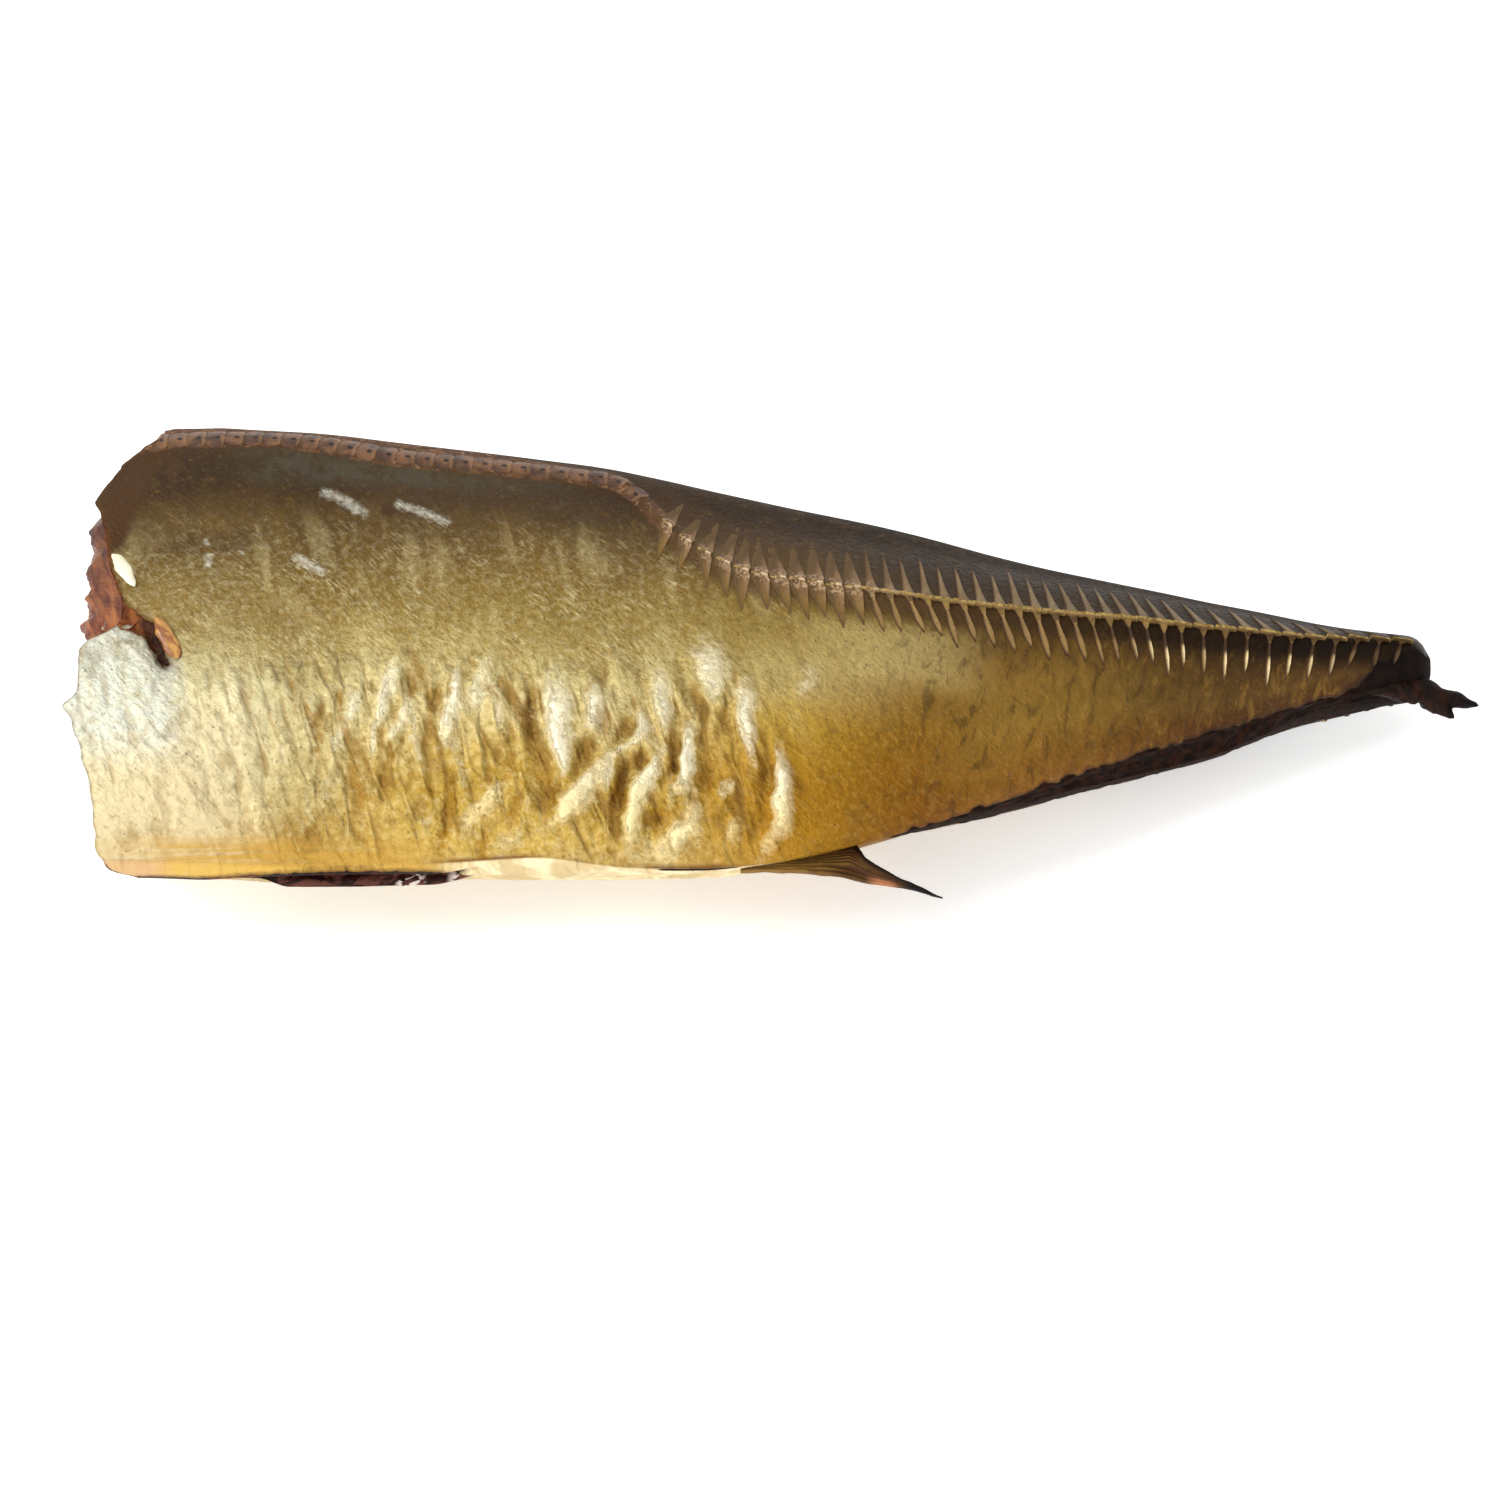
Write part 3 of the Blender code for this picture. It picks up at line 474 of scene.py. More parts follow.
def mesh_piece(name, points, faces, marks):
    """A smooth mesh object of the points in metres, with its marks as attributes of the points."""
    mesh = bpy.data.meshes.new(name)
    mesh.from_pydata([tuple(point) for point in points], [], faces)
    mesh.validate()
    for label, values in marks.items():
        values = np.asarray(values, dtype=np.float32)
        kind, field = ("FLOAT_VECTOR", "vector") if values.ndim == 2 else ("FLOAT", "value")
        mesh.attributes.new(label, kind, "POINT").data.foreach_set(field, values.ravel())
    mesh.update()
    mesh.shade_smooth()
    obj = bpy.data.objects.new(name, mesh)
    bpy.context.scene.collection.objects.link(obj)
    return obj


def loop_faces(rings, loop, flip=False):
    """Quads between each ring and the next, all round."""
    faces = []
    for ring in range(rings - 1):
        start, after = ring * loop, (ring + 1) * loop
        for i in range(loop):
            j = (i + 1) % loop
            quad = (start + i, start + j, after + j, after + i)
            faces.append(quad[::-1] if flip else quad)
    return faces


# The skin's cut edge turns in, and the cap behind it lies hidden below the flesh
RIM_DEPTH, RIM_SHRINK = 2.5, 0.97
rim_x, rim_v, rim_w = skin_x[:1] + RIM_DEPTH, skin_v[:1] * RIM_SHRINK, skin_w[:1] * RIM_SHRINK
skin_x = np.concatenate([rim_x, skin_x])
skin_v = np.concatenate([rim_v, skin_v])
skin_w = np.concatenate([rim_w, skin_w])
rings, loop = skin_v.shape
skin_points = place(skin_x, skin_v, skin_w).reshape(-1, 3)
skin_faces = loop_faces(rings, loop)
head_loop = [Vector((v, w, 0)) for v, w in zip(skin_v[0], skin_w[0])]
skin_faces.extend(tuple(corners) for corners in geometry.tessellate_polygon([head_loop]))
last = (rings - 1) * loop
inner_points = place(np.full(loop, TAIL_X + 0.2), skin_v[-1] * 0.5, skin_w[-1] * 0.5)
tip_point = place(np.array([TAIL_X + 0.4]), np.zeros(1), np.zeros(1))
skin_points = np.concatenate([skin_points, inner_points, tip_point])
for i in range(loop):
    j = (i + 1) % loop
    skin_faces.append((last + i, last + j, last + loop + j, last + loop + i))
    skin_faces.append((last + loop + i, last + loop + j, last + 2 * loop))


def with_ends(values, end):
    """The values of the rings with those of the first ring doubled, and one value for the tail's end."""
    return np.concatenate([values[:1].ravel(), values.ravel(), np.full(loop + 1, end)])


ring_lie_x, ring_lie_v = skin_x[1:], with_ends(line_mm + line_v(skin_x[1:]), 0)
lie = np.stack([with_ends(ring_lie_x, TAIL_X), ring_lie_v, with_ends(skin_turn, 0)], axis=1)
skin_marks = {"height": body_height, "fold": fold_mark, "seam": seam_mark, "deep": slit_deep}
skin_marks.update({"flap": flap_mark, "scuff": scuff, "stain": stain, "line_mm": line_mm})
skin_marks = {name: with_ends(values, 0) for name, values in skin_marks.items()}
skin_marks.update({"lie": lie, "edge_mm": with_ends(edge_mm, -1.5)})
skin = mesh_piece("trunk_skin", skin_points, skin_faces, skin_marks)


def paint(red, green, blue):
    """A colour for a shader from its screen values of 0 to 255."""
    shares = [value / 255 for value in (red, green, blue)]
    light = [share / 12.92 if share <= 0.04045 else ((share + 0.055) / 1.055) ** 2.4 for share in shares]
    return (*light, 1)


def feed(socket, value):
    """Links a socket to a Value, or sets the value of an unlinked one."""
    if isinstance(value, Value):
        value.tree.links.new(value.socket, socket)
    else:
        socket.default_value = value


def add_node(tree, kind, inputs=None, **settings):
    """A node with its settings, and with its inputs fed by name or number."""
    whole = kind if kind.startswith(("Geometry", "Function", "NodeGroup")) else "ShaderNode" + kind
    node = tree.nodes.new(whole)
    for key, value in settings.items():
        setattr(node, key, value)
    for key, value in (inputs or {}).items():
        feed(node.inputs[key], value)
    return node


def values_of(node):
    """What a node puts out, by name."""
    return {socket.name: Value(socket) for socket in node.outputs}


def sums(operation, *values):
    """A Math node's result."""
    tree = next(value.tree for value in values if isinstance(value, Value))
    return Value(add_node(tree, "Math", dict(enumerate(values)), operation=operation).outputs[0])


def blend(share, first, second, way="MIX"):
    """Two colours mixed, each a Value or red, green and blue of 0 to 255."""
    tree = next(value.tree for value in (share, first, second) if isinstance(value, Value))
    first, second = (paint(*colour) if isinstance(colour, tuple) else colour for colour in (first, second))
    settings = {"data_type": "RGBA", "blend_type": way, "clamp_factor": True}
    return Value(add_node(tree, "Mix", {0: share, 6: first, 7: second}, **settings).outputs[2])


class Value:
    """A number, colour or vector that a node puts out. Arithmetic with it adds nodes to its tree."""

    def __init__(self, socket):
        self.socket = socket
        self.tree = socket.id_data

    def __add__(self, other):
        return sums("ADD", self, other)

    def __sub__(self, other):
        return sums("SUBTRACT", self, other)

    def __rsub__(self, other):
        return sums("SUBTRACT", other, self)

    def __mul__(self, other):
        return sums("MULTIPLY", self, other)

    def __rtruediv__(self, other):
        return sums("DIVIDE", other, self)

    def __abs__(self):
        return sums("ABSOLUTE", self)

    def scaled(self, by, plus):
        """The value times by, plus the other one."""
        return sums("MULTIPLY_ADD", self, by, plus)

    def larger(self, other):
        """The larger of the two values."""
        return sums("MAXIMUM", self, other)

    def step(self, low, high, start=0.0, end=1.0):
        """From start to end as the value goes from low to high, smoothly."""
        inputs = {"Value": self, "From Min": low, "From Max": high, "To Min": start, "To Max": end}
        node = add_node(self.tree, "MapRange", inputs, interpolation_type="SMOOTHSTEP")
        return Value(node.outputs["Result"])

    def tint(self, share, *colour):
        """The colour, with a share of the other one over it."""
        return blend(share, self, colour)

    def shade(self, share, *colour):
        """The colour, darkened by the other one where the share is 1."""
        return blend(share, self, colour, "MULTIPLY")


def blend_values(share, first, second):
    """Two numbers mixed."""
    inputs = {0: share, 2: first, 3: second}
    return Value(add_node(share.tree, "Mix", inputs, data_type="FLOAT", clamp_factor=True).outputs[0])


def cloud(where, size, detail=2.0, roughness=0.5, twist=0.0):
    """Noise of 0 to 1 whose patches are about size mm wide."""
    inputs = {"Vector": where, "Scale": 1 / size, "Detail": detail, "Roughness": roughness}
    return Value(add_node(where.tree, "TexNoise", {**inputs, "Distortion": twist}).outputs["Fac"])


def cells(where, size):
    """Distance from the nearest of many points that are about size mm apart."""
    inputs = {"Vector": where, "Scale": 1 / size}
    return Value(add_node(where.tree, "TexVoronoi", inputs).outputs["Distance"])


def drawn_out(where, angle, length, width):
    """Places for a pattern of size 1 that gives it the length along the angle, and the width across it."""
    inputs = {"Vector": where, "Rotation": (0, 0, math.radians(angle)), "Scale": (length, width, width)}
    return Value(add_node(where.tree, "Mapping", inputs, vector_type="TEXTURE").outputs["Vector"])


def vectors(operation, first, second):
    """A Vector Math node's result."""
    inputs = {0: first, "Scale" if operation == "SCALE" else 1: second}
    return Value(add_node(first.tree, "VectorMath", inputs, operation=operation).outputs[0])


def parts(vector):
    """The three numbers of a vector."""
    return [Value(socket) for socket in add_node(vector.tree, "SeparateXYZ", {0: vector}).outputs]


def in_mm(tree):
    """Object coordinates in mm."""
    return vectors("SCALE", Value(add_node(tree, "TexCoord").outputs["Object"]), 1000)


def mark(tree, name, output="Fac"):
    """A mark of the mesh's points."""
    return Value(add_node(tree, "Attribute", attribute_name=name).outputs[output])


def tone_ramp(value, tones):
    """A colour for each value of -1 to 1, from rows of the value and red, green and blue."""
    node = add_node(value.tree, "ValToRGB", {0: value.scaled(0.5, 0.5)})
    stops = node.color_ramp.elements
    for number, (height, *colour) in enumerate(tones):
        place_on_ramp = 0.5 + 0.5 * height
        stop = stops[number] if number < 2 else stops.new(place_on_ramp)
        stop.position = place_on_ramp
        stop.color = paint(*colour)
    return Value(node.outputs["Color"])


def node_group(name, kind, inputs, outputs):
    """A group with the sockets: its tree, the values that it is given, and the inputs for its results."""
    tree = bpy.data.node_groups.new(name, kind)
    for way, sockets in (("INPUT", inputs), ("OUTPUT", outputs)):
        for label, socket_kind in sockets.items():
            tree.interface.new_socket(label, in_out=way, socket_type="NodeSocket" + socket_kind)
    return tree, values_of(add_node(tree, "NodeGroupInput")), add_node(tree, "NodeGroupOutput").inputs


def new_material(name):
    """A material and its node tree."""
    material = bpy.data.materials.new(name)
    material.use_nodes = True
    return material, material.node_tree


def finish_look(tree, colour, roughness, others, height=None):
    """Feeds the shader of a material, with the height in mm as its bump."""
    shader = tree.nodes["Principled BSDF"]
    for name, value in {"Base Color": colour, "Roughness": roughness, **others}.items():
        feed(shader.inputs[name], value)
    if height:
        bumped = add_node(tree, "Bump", {"Distance": MM, "Height": height})
        feed(shader.inputs["Normal"], Value(bumped.outputs["Normal"]))


# Grain of the cured surface, shared by the skin, the flesh and the bony pieces
grain_outputs = {"Patches": "Float", "Grain": "Float", "Pits": "Float"}
grain_group, sizes, results = node_group(
    "cured_grain", "ShaderNodeTree", {"Patch Size": "Float", "Grain Size": "Float"}, grain_outputs
)
group_place = in_mm(grain_group)
feed(results["Patches"], cloud(group_place, sizes["Patch Size"], 3, 0.55, 0.4))
feed(results["Grain"], cloud(group_place, sizes["Grain Size"], 3, 0.6))
feed(results["Pits"], cells(group_place, sizes["Grain Size"] * 2).step(0.1, 0.3, 1, 0))


def grain(tree, patch_size, grain_size):
    """Patches, grain and pits for patches and grains of the sizes in mm."""
    inputs = {"Patch Size": patch_size, "Grain Size": grain_size}
    return values_of(add_node(tree, "Group", inputs, node_tree=grain_group))


# Look of bare cured flesh, shared by the cuts in the skin and by the pieces of flesh
flesh_group, given, results = node_group(
    "cured_flesh", "ShaderNodeTree", {"Darkness": "Float"}, {"Color": "Color", "Height": "Float"}
)
flesh_grain = grain(flesh_group, 3.0, 0.7)
fibres = cloud(drawn_out(in_mm(flesh_group), 105, 4.4, 1.3), 1, 2.5, 0.55, 0.4)
red_meat = blend(fibres.step(0.28, 0.76), (92, 36, 16), (168, 101, 52))
brown_meat = blend(fibres.step(0.35, 0.72), (17, 7, 3), (45, 21, 8))
dark_share = given["Darkness"] + flesh_grain["Patches"].scaled(0.5, -0.25)
feed(results["Color"], blend(dark_share, red_meat, brown_meat))
feed(results["Height"], fibres * 0.35 + flesh_grain["Grain"])


def flesh_look(tree, dark):
    """Colour and height of bare flesh: red at dark 0 and nearly black at 1."""
    return values_of(add_node(tree, "Group", {"Darkness": dark}, node_tree=flesh_group))


# Tones of the skin, from the belly at -1 to the back at 1: the value, and red, green and blue
FRONT_TONES = (
    (-1, 196, 154, 64), (-0.95, 198, 168, 100), (-0.88, 206, 185, 132), (-0.78, 217, 203, 158),
    (-0.66, 224, 214, 176), (-0.54, 230, 223, 187), (-0.43, 210, 200, 156), (-0.33, 188, 171, 119),
    (-0.22, 165, 143, 89), (-0.1, 152, 130, 78), (0.02, 133, 111, 69), (0.14, 122, 101, 62),
    (0.27, 102, 83, 50), (0.42, 78, 62, 42), (0.6, 86, 71, 52), (1, 84, 72, 58),
)
MIDDLE_TONES = (
    (-1, 196, 166, 98), (-0.95, 200, 168, 88), (-0.88, 190, 158, 74), (-0.8, 187, 154, 68),
    (-0.7, 202, 176, 106), (-0.6, 212, 193, 140), (-0.5, 214, 199, 150), (-0.4, 206, 190, 136),
    (-0.3, 187, 167, 110), (-0.2, 168, 146, 84), (-0.1, 156, 132, 74), (0, 136, 111, 63),
    (0.15, 112, 90, 54), (0.3, 92, 75, 53), (0.5, 86, 70, 52), (1, 74, 64, 54),
)
REAR_TONES = (
    (-1, 134, 90, 34), (-0.92, 136, 96, 34), (-0.82, 145, 109, 44), (-0.72, 147, 115, 50),
    (-0.6, 140, 108, 46), (-0.5, 142, 110, 49), (-0.37, 132, 100, 46), (-0.22, 114, 87, 42),
    (-0.05, 108, 85, 48), (0.1, 82, 66, 45), (0.3, 67, 54, 40), (1, 64, 57, 48),
)
TAIL_TONES = (
    (-1, 78, 46, 22), (-0.8, 98, 71, 38), (-0.6, 84, 59, 30), (-0.35, 66, 45, 23), (-0.15, 42, 27, 14),
    (0.1, 44, 34, 24), (0.5, 46, 40, 34), (1, 58, 54, 48),
)
# Smoke that darkens the tones
SMOKE_TONES = (
    (-1, 243, 238, 216), (-0.5, 241, 236, 216), (-0.25, 222, 214, 186), (-0.02, 210, 200, 168),
    (0.2, 206, 194, 162), (0.36, 200, 180, 152), (0.5, 188, 168, 146), (0.75, 206, 188, 166),
    (1, 212, 196, 176),
)

skin_material, tree = new_material("smoked_skin")
where = in_mm(tree)
lie_x, lie_v, lie_turn = parts(mark(tree, "lie", "Vector"))
on_skin = Value(add_node(tree, "CombineXYZ", {0: lie_x, 1: lie_turn}).outputs[0])
share_up, fold, deep = mark(tree, "height"), mark(tree, "fold"), mark(tree, "deep")
from_edge, stain, scuff = mark(tree, "edge_mm"), mark(tree, "stain"), mark(tree, "scuff")

# Tones from the belly to the back, front to tail, uneven by the mottling. The bright front of the belly
# and the darker tail are partly the skin's own tones and partly painted light and shade.
skin_grain = grain(tree, 16, 0.5)
mottle = cloud(on_skin, 5, 4, 0.62, 0.7)
small_patches = cloud(on_skin, 2.6, 3, 0.6, 0.5)
shift = skin_grain["Patches"].scaled(0.26, -0.13) + mottle.scaled(0.2, -0.1)
height = share_up + shift
colour = blend(lie_x.step(-74, -50), tone_ramp(height, FRONT_TONES), tone_ramp(height, MIDDLE_TONES))
colour = blend(lie_x.step(-4, 26), colour, tone_ramp(height, REAR_TONES))
colour = blend(lie_x.step(34, 74), colour, tone_ramp(height, TAIL_TONES))
colour = blend(1.0, colour, tone_ramp(share_up, SMOKE_TONES), "MULTIPLY")
crinkle = cloud(on_skin, 1.1, 5, 0.7, 0.25)
golden_side = lie_x.step(-22, 4) * lie_v.step(-14, -25) * lie_x.step(38, 18)
colour = colour.shade(golden_side, 230, 204, 108).shade(lie_x.step(-62, -80), 242, 242, 246)
dark_back = lie_x.step(-40, -8) * share_up.step(0.16, 0.45)
colour = colour.shade(dark_back, 204, 190, 168)
dark_top = lie_x.step(-8, 20) * share_up.step(0.45, 0.75)
colour = colour.shade(dark_top, 196, 176, 150)
dark_fold_zone = lie_x.step(-77, -69) * lie_x.step(-59, -66)
colour = colour.shade(dark_fold_zone, 228, 222, 206)
grey_side = lie_x.step(-4, 14) * lie_x.step(36, 22) * (lie_v.step(-4, -8) * lie_v.step(-18, -13))
colour = colour.tint(grey_side * 0.5, 206, 184, 120)
pale_throat = lie_x.step(-70, -84) * lie_v.step(-20, -30)
colour = colour.tint(pale_throat * 0.7, 220, 205, 166)

# White cheek behind the head cut
cheek = lie_x.step(-90, -84, 1, 0) * lie_v.step(-34, -26) * lie_x.scaled(0.7, lie_v).step(-77, -79)
cheek *= small_patches.step(0.3, 0.55, 0.55, 1)
colour = colour.tint(cheek, 216, 218, 202)

# Soft upright bands above the folds, and the mottling
bands = cloud(drawn_out(on_skin, -78, 18, 4.5), 1, 2, 0.5, 0.3)
band_zone = lie_v.step(-30, -18) * lie_v.step(12, 0) * lie_x.step(18, 2)
dark_bands = bands.step(0.5, 0.3) * (band_zone * 0.4)
colour = colour.tint(dark_bands, 134, 106, 48)
light_bands = bands.step(0.52, 0.7) * (band_zone * 0.25)
colour = colour.tint(light_bands, 214, 196, 138).tint(mottle.step(0.46, 0.28, 0, 0.4), 86, 65, 34)
colour = colour.tint(small_patches.step(0.45, 0.3, 0, 0.25), 96, 72, 36)
fine_zone = lie_x.step(40, 10) * lie_v.step(14, -4, 0.25, 1)
light_fine = crinkle.step(0.42, 0.78, 0, 0.3) * fine_zone
fine_colour = blend(lie_x.step(-22, 4), (236, 226, 182), (196, 160, 74))
fine_colour = fine_colour.tint(lie_v.step(0, 12), 142, 120, 78)
colour = blend(light_fine, colour, fine_colour)
dark_fine = crinkle.step(0.5, 0.26, 0, 0.36) * lie_v.step(14, 0, 0.4, 1) * lie_x.step(-84, -68, 0.45, 1)
colour = colour.tint(dark_fine, 104, 80, 38)

# Upright blotches on the way to the tail
blotches = cloud(drawn_out(on_skin, 80, 4.5, 1.7), 1, 3, 0.62, 0.7)
rear_zone = lie_x.step(6, 30)
dark_blotch = blotches.step(0.5, 0.32) * (rear_zone * 0.6)
colour = colour.tint(dark_blotch, 66, 46, 22)
light_blotch = blotches.step(0.52, 0.7) * (rear_zone * 0.4) * lie_v.step(2, -3)
colour = colour.tint(light_blotch, 150, 112, 50)

# Folds: painted highlights on the crests and golden brown painted shade in the hollows
uneven_fold = fold + small_patches.scaled(0.6, -0.3) + crinkle.scaled(1.5, -0.75)
crest_highlight_colour = blend(lie_v.step(-38, -30), (240, 222, 168), (246, 238, 206))
near_fold = fold.step(0, 0.3, 0.15, 1)
crest_share = uneven_fold.step(0.35, 1.4, 0, 0.95).larger(uneven_fold.step(0, 0.9, 0, 0.5)) * near_fold
colour = blend(crest_share, colour, crest_highlight_colour)
hollow_shade_colour = blend(lie_v.step(-36, -26), (150, 108, 28), (146, 112, 44))
colour = blend(uneven_fold.step(-0.05, -0.85, 0, 0.8), colour, hollow_shade_colour)
colour = colour.tint(uneven_fold.step(-0.8, -1.4, 0, 0.8), 104, 70, 22)
flat_share = 1 - crest_share
slack_zone = lie_v.step(-12, -22) * lie_x.step(6, -4)
creases = cloud(drawn_out(on_skin, -74, 7, 2.2), 1, 1.2, 0.5, 0.6)
folded = slack_zone * lie_x.step(-88, -60, 0.35, 0.9) * flat_share
# Painted shade in the fine creases of the slack belly skin
colour = colour.tint(creases.step(0.48, 0.3) * folded, 140, 106, 44)

# Light dashes and dark specks of the scale pockets, in tufts
scale_cells = cells(drawn_out(on_skin, -42, 1.3, 0.8), 1)
dashes = cloud(drawn_out(on_skin, -42, 1.7, 0.36), 1, 2, 0.5, 0.5)
tufts = cloud(on_skin, 6, 3, 0.6, 0.4).step(0.46, 0.64, 0, 1)
silvery = lie_v.step(12, 4) * lie_x.step(12, -4) * lie_v.step(-34, -14, 0.3, 1) * flat_share
light_dash = dashes.step(0.5, 0.66) * (silvery * tufts)
dash_colour = blend(lie_v.step(-4, 8), (230, 218, 172), (176, 154, 104))
colour = blend(light_dash * 0.32, colour, dash_colour)
dark_dash = dashes.step(0.45, 0.32) * (silvery * 0.22)
colour = colour.tint(dark_dash, 106, 82, 40)

# Ribbed cheek
ribs = cloud(drawn_out(on_skin, -46, 4, 0.75), 1, 2, 0.5, 0.4)
rib_shade = ribs.step(0.5, 0.34) * lie_x.step(-74, -86, 0, 0.2)
colour = colour.tint(rib_shade * lie_v.step(0, -8), 176, 160, 122)
specks = cells(where, 1.1).step(0.26, 0.12) * small_patches.step(0.45, 0.62, 0, 0.5)
colour = colour.tint(specks, 84, 62, 34)

# Grey green sheen below the shoulder band, and the stains
sheen = lie_v.step(12, 16) * lie_v.step(24, 21) * (lie_x.step(-84, -72) * lie_x.step(-24, -44))
colour = colour.tint(sheen * mottle.step(0.35, 0.6, 0.1, 0.6), 82, 78, 62)
stained = stain + small_patches.scaled(0.5, -0.25)
stain_share = stained.step(0.15, 0.75) * stain.step(0, 0.2)
colour = blend(stain_share, colour, blend(lie_v.step(-4, 2), (112, 86, 40), (72, 48, 26)))

# White scuffs on the shoulder
scuffed = scuff + dashes.scaled(0.8, -0.42) + crinkle.scaled(1.8, -1)
scuff_share = scuffed.step(0.2, 1.3) * scuff.step(0.05, 0.7, 0, 0.8)
colour = colour.tint(scuff_share, 206, 202, 184)

# Brown band of the lateral line, and painted shadow on the skin between the bony plates, darkest
# below the keels
line_mm = mark(tree, "line_mm")
band_top = lie_x.step(-60, -26, 7.5, 2.6)
ragged_line = line_mm + small_patches.scaled(1.6, -0.8)
over = (ragged_line - band_top).step(0.6, -0.6)
front_band = ragged_line.step(-3.1, -2.3) * over * lie_x.step(-8, -18)
band_colour = blend(small_patches.step(0.36, 0.64), (70, 44, 26), (112, 76, 48))
colour = blend(front_band * 0.9, colour, band_colour)
flecks = front_band * crinkle.step(0.52, 0.68, 0, 0.8)
colour = colour.tint(flecks, 176, 136, 98)
under_keel_shadow = line_mm.step(0.6, -0.6) * line_mm.step(-5.6, -2.2) * lie_x.step(-22, -12, 0.2, 0.88)
under_keel_shadow_colour = blend(lie_x.step(16, 44), (82, 60, 36), (58, 40, 20)).tint(lie_x.step(36, 62), 34, 21, 10)
colour = blend(under_keel_shadow, colour, under_keel_shadow_colour.tint(lie_x.step(66, 84), 20, 12, 6))
above_line_shade = line_mm.step(-0.8, 0.4) * line_mm.step(13, 7) * (lie_x.step(-26, -10) * 0.6)
above_line_shade_colour = blend(lie_x.step(0, 24), (76, 56, 36), (54, 42, 32))
colour = blend(above_line_shade, colour, above_line_shade_colour)

# The belly edge: painted shade in the valley above the lip
streaks = cloud(drawn_out(on_skin, 2, 14, 0.9), 1, 3, 0.6, 0.4)
valley_shade = share_up.step(-0.93, -0.985) * lie_x.step(-46, -54) * lie_x.step(-100, -84, 0.2, 1)
colour = colour.tint(valley_shade * streaks.step(0.35, 0.6, 0.25, 0.9), 188, 146, 62)
lip_light = share_up.step(-0.992, -1.002) * lie_x.step(-50, -56, 0, 0.7)
colour = blend(lip_light, colour, blend(lie_x.step(-92, -86), (206, 164, 116), (214, 174, 84)))
flap_share = mark(tree, "flap") * lie_x.step(-50, -44) * lie_x.step(4, -4, 0, 0.85)
flap_colour = blend(mottle.step(0.4, 0.62), (214, 192, 142), (250, 236, 194))
colour = blend(flap_share, colour, flap_colour)
# The seam: a dark brown line painted as shade in the crease along the belly edge
seam_line = lie_x.step(-52, -45, 0.16, 0.9) * lie_x.step(-32, -37, 0.25, 1)
back_seam = lie_x.step(-22, -16) * 0.9
crease_shade_share = mark(tree, "seam") * seam_line.larger(back_seam)
colour = colour.tint(crease_shade_share, 106, 62, 26)

# Bare flesh where the skin is cut or torn, with a thin brown rim
edge = from_edge + cloud(where, 1.3, 3, 0.6).scaled(0.8, -0.4)
dark_lip = lie_x.step(-80, -74) * share_up.step(-0.9, -0.98)
dark_cut = lie_x.step(-60, 14, 0.2, 1.25).larger(dark_lip)
in_pit = lie_x.step(-96, -91) * lie_x.step(-80, -84, 0, 0.7)
bare_flesh = flesh_look(tree, dark_cut + in_pit)
flesh_share = edge.step(0.1, -0.1)
rim_share = edge.step(0.9, 0.1, 0, 0.7) * from_edge.step(2.2, 1.6)
clean_cut = lie_x.step(-90, -95) * lie_v.step(-9, -14)
rim_share *= 1 - clean_cut
colour = blend(rim_share, colour, blend(lie_x.step(20, 60), (92, 56, 24), (34, 19, 9)))
bare_colour = bare_flesh["Color"].tint(lie_x.step(84, 93, 0, 0.7), 9, 4, 2)
colour = blend(flesh_share, colour, bare_colour)
lining = deep.step(0.05, 0.3) * lie_x.step(-76, -71)
lining = lining.larger(from_edge.step(-1.5, -2.5)) * deep.step(0.02, 0.1)
lining_cloud = cloud(drawn_out(where, 20, 3.2, 1.4), 1, 3, 0.6, 0.8)
lining_colour = blend(lining_cloud.step(0.42, 0.68), (38, 13, 8), (112, 66, 54))
# Painted glints on the wet lining
glint_cloud = cloud(drawn_out(where, 30, 2.0, 1.1), 1, 2, 0.5, 0.6)
glint_places = abs(lie_x + 53.2).step(2.6, 1.4).larger(abs(lie_x + 45.6).step(2.4, 1.2))
painted_glints = glint_cloud.step(0.52, 0.58) * glint_places
lining_colour = lining_colour.tint(painted_glints, 236, 218, 210)
colour = blend(lining, colour, lining_colour)

# Gold sheen, gloss and relief
gold = share_up.step(0.4, -0.2, 0.1, 0.45) * (1 - flesh_share)
gloss = blend_values(skin_grain["Grain"], 0.34, 0.5)
gloss = blend_values(flesh_share, gloss, blend_values(lie_x.step(-40, 0), 0.4, 0.85))
gloss = blend_values(lining, blend_values(share_up.step(0.35, 0.65, 0, 0.8), gloss, 0.85), 0.24)
skin_bump = scale_cells.step(0.1, 0.8) * 0.07 + dashes * (tufts * 0.12)
fine_relief = lie_v.step(14, 0, 0.16, 0.34) * lie_x.step(34, 4, 0.35, 1)
skin_bump += crinkle * fine_relief
skin_bump += skin_grain["Grain"] * 0.2
skin_bump += creases * (folded * 1.9)
skin_bump += ribs * lie_x.step(-74, -86, 0, 0.22)
relief = blend_values(flesh_share, skin_bump, bare_flesh["Height"] * 0.35)
finish_look(tree, colour, gloss, {"Metallic": gold, "Specular IOR Level": 0.12}, relief)

skin.data.materials.append(skin_material)
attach(skin, "root")
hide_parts("fish_trunk")


# The flesh of the head cut: brown red cured meat that bulges out of the skin round the end of the spine,
# with the slit of the emptied belly below. It is one lumpy plug that starts inside the skin.

CUT_ROWS, CUT_COLUMNS, CUT_INSET, PLUG_DEPTH = 150, 36, 0.3, 2
SPINE_AT, SPINE_RADIUS = 2, 4.2

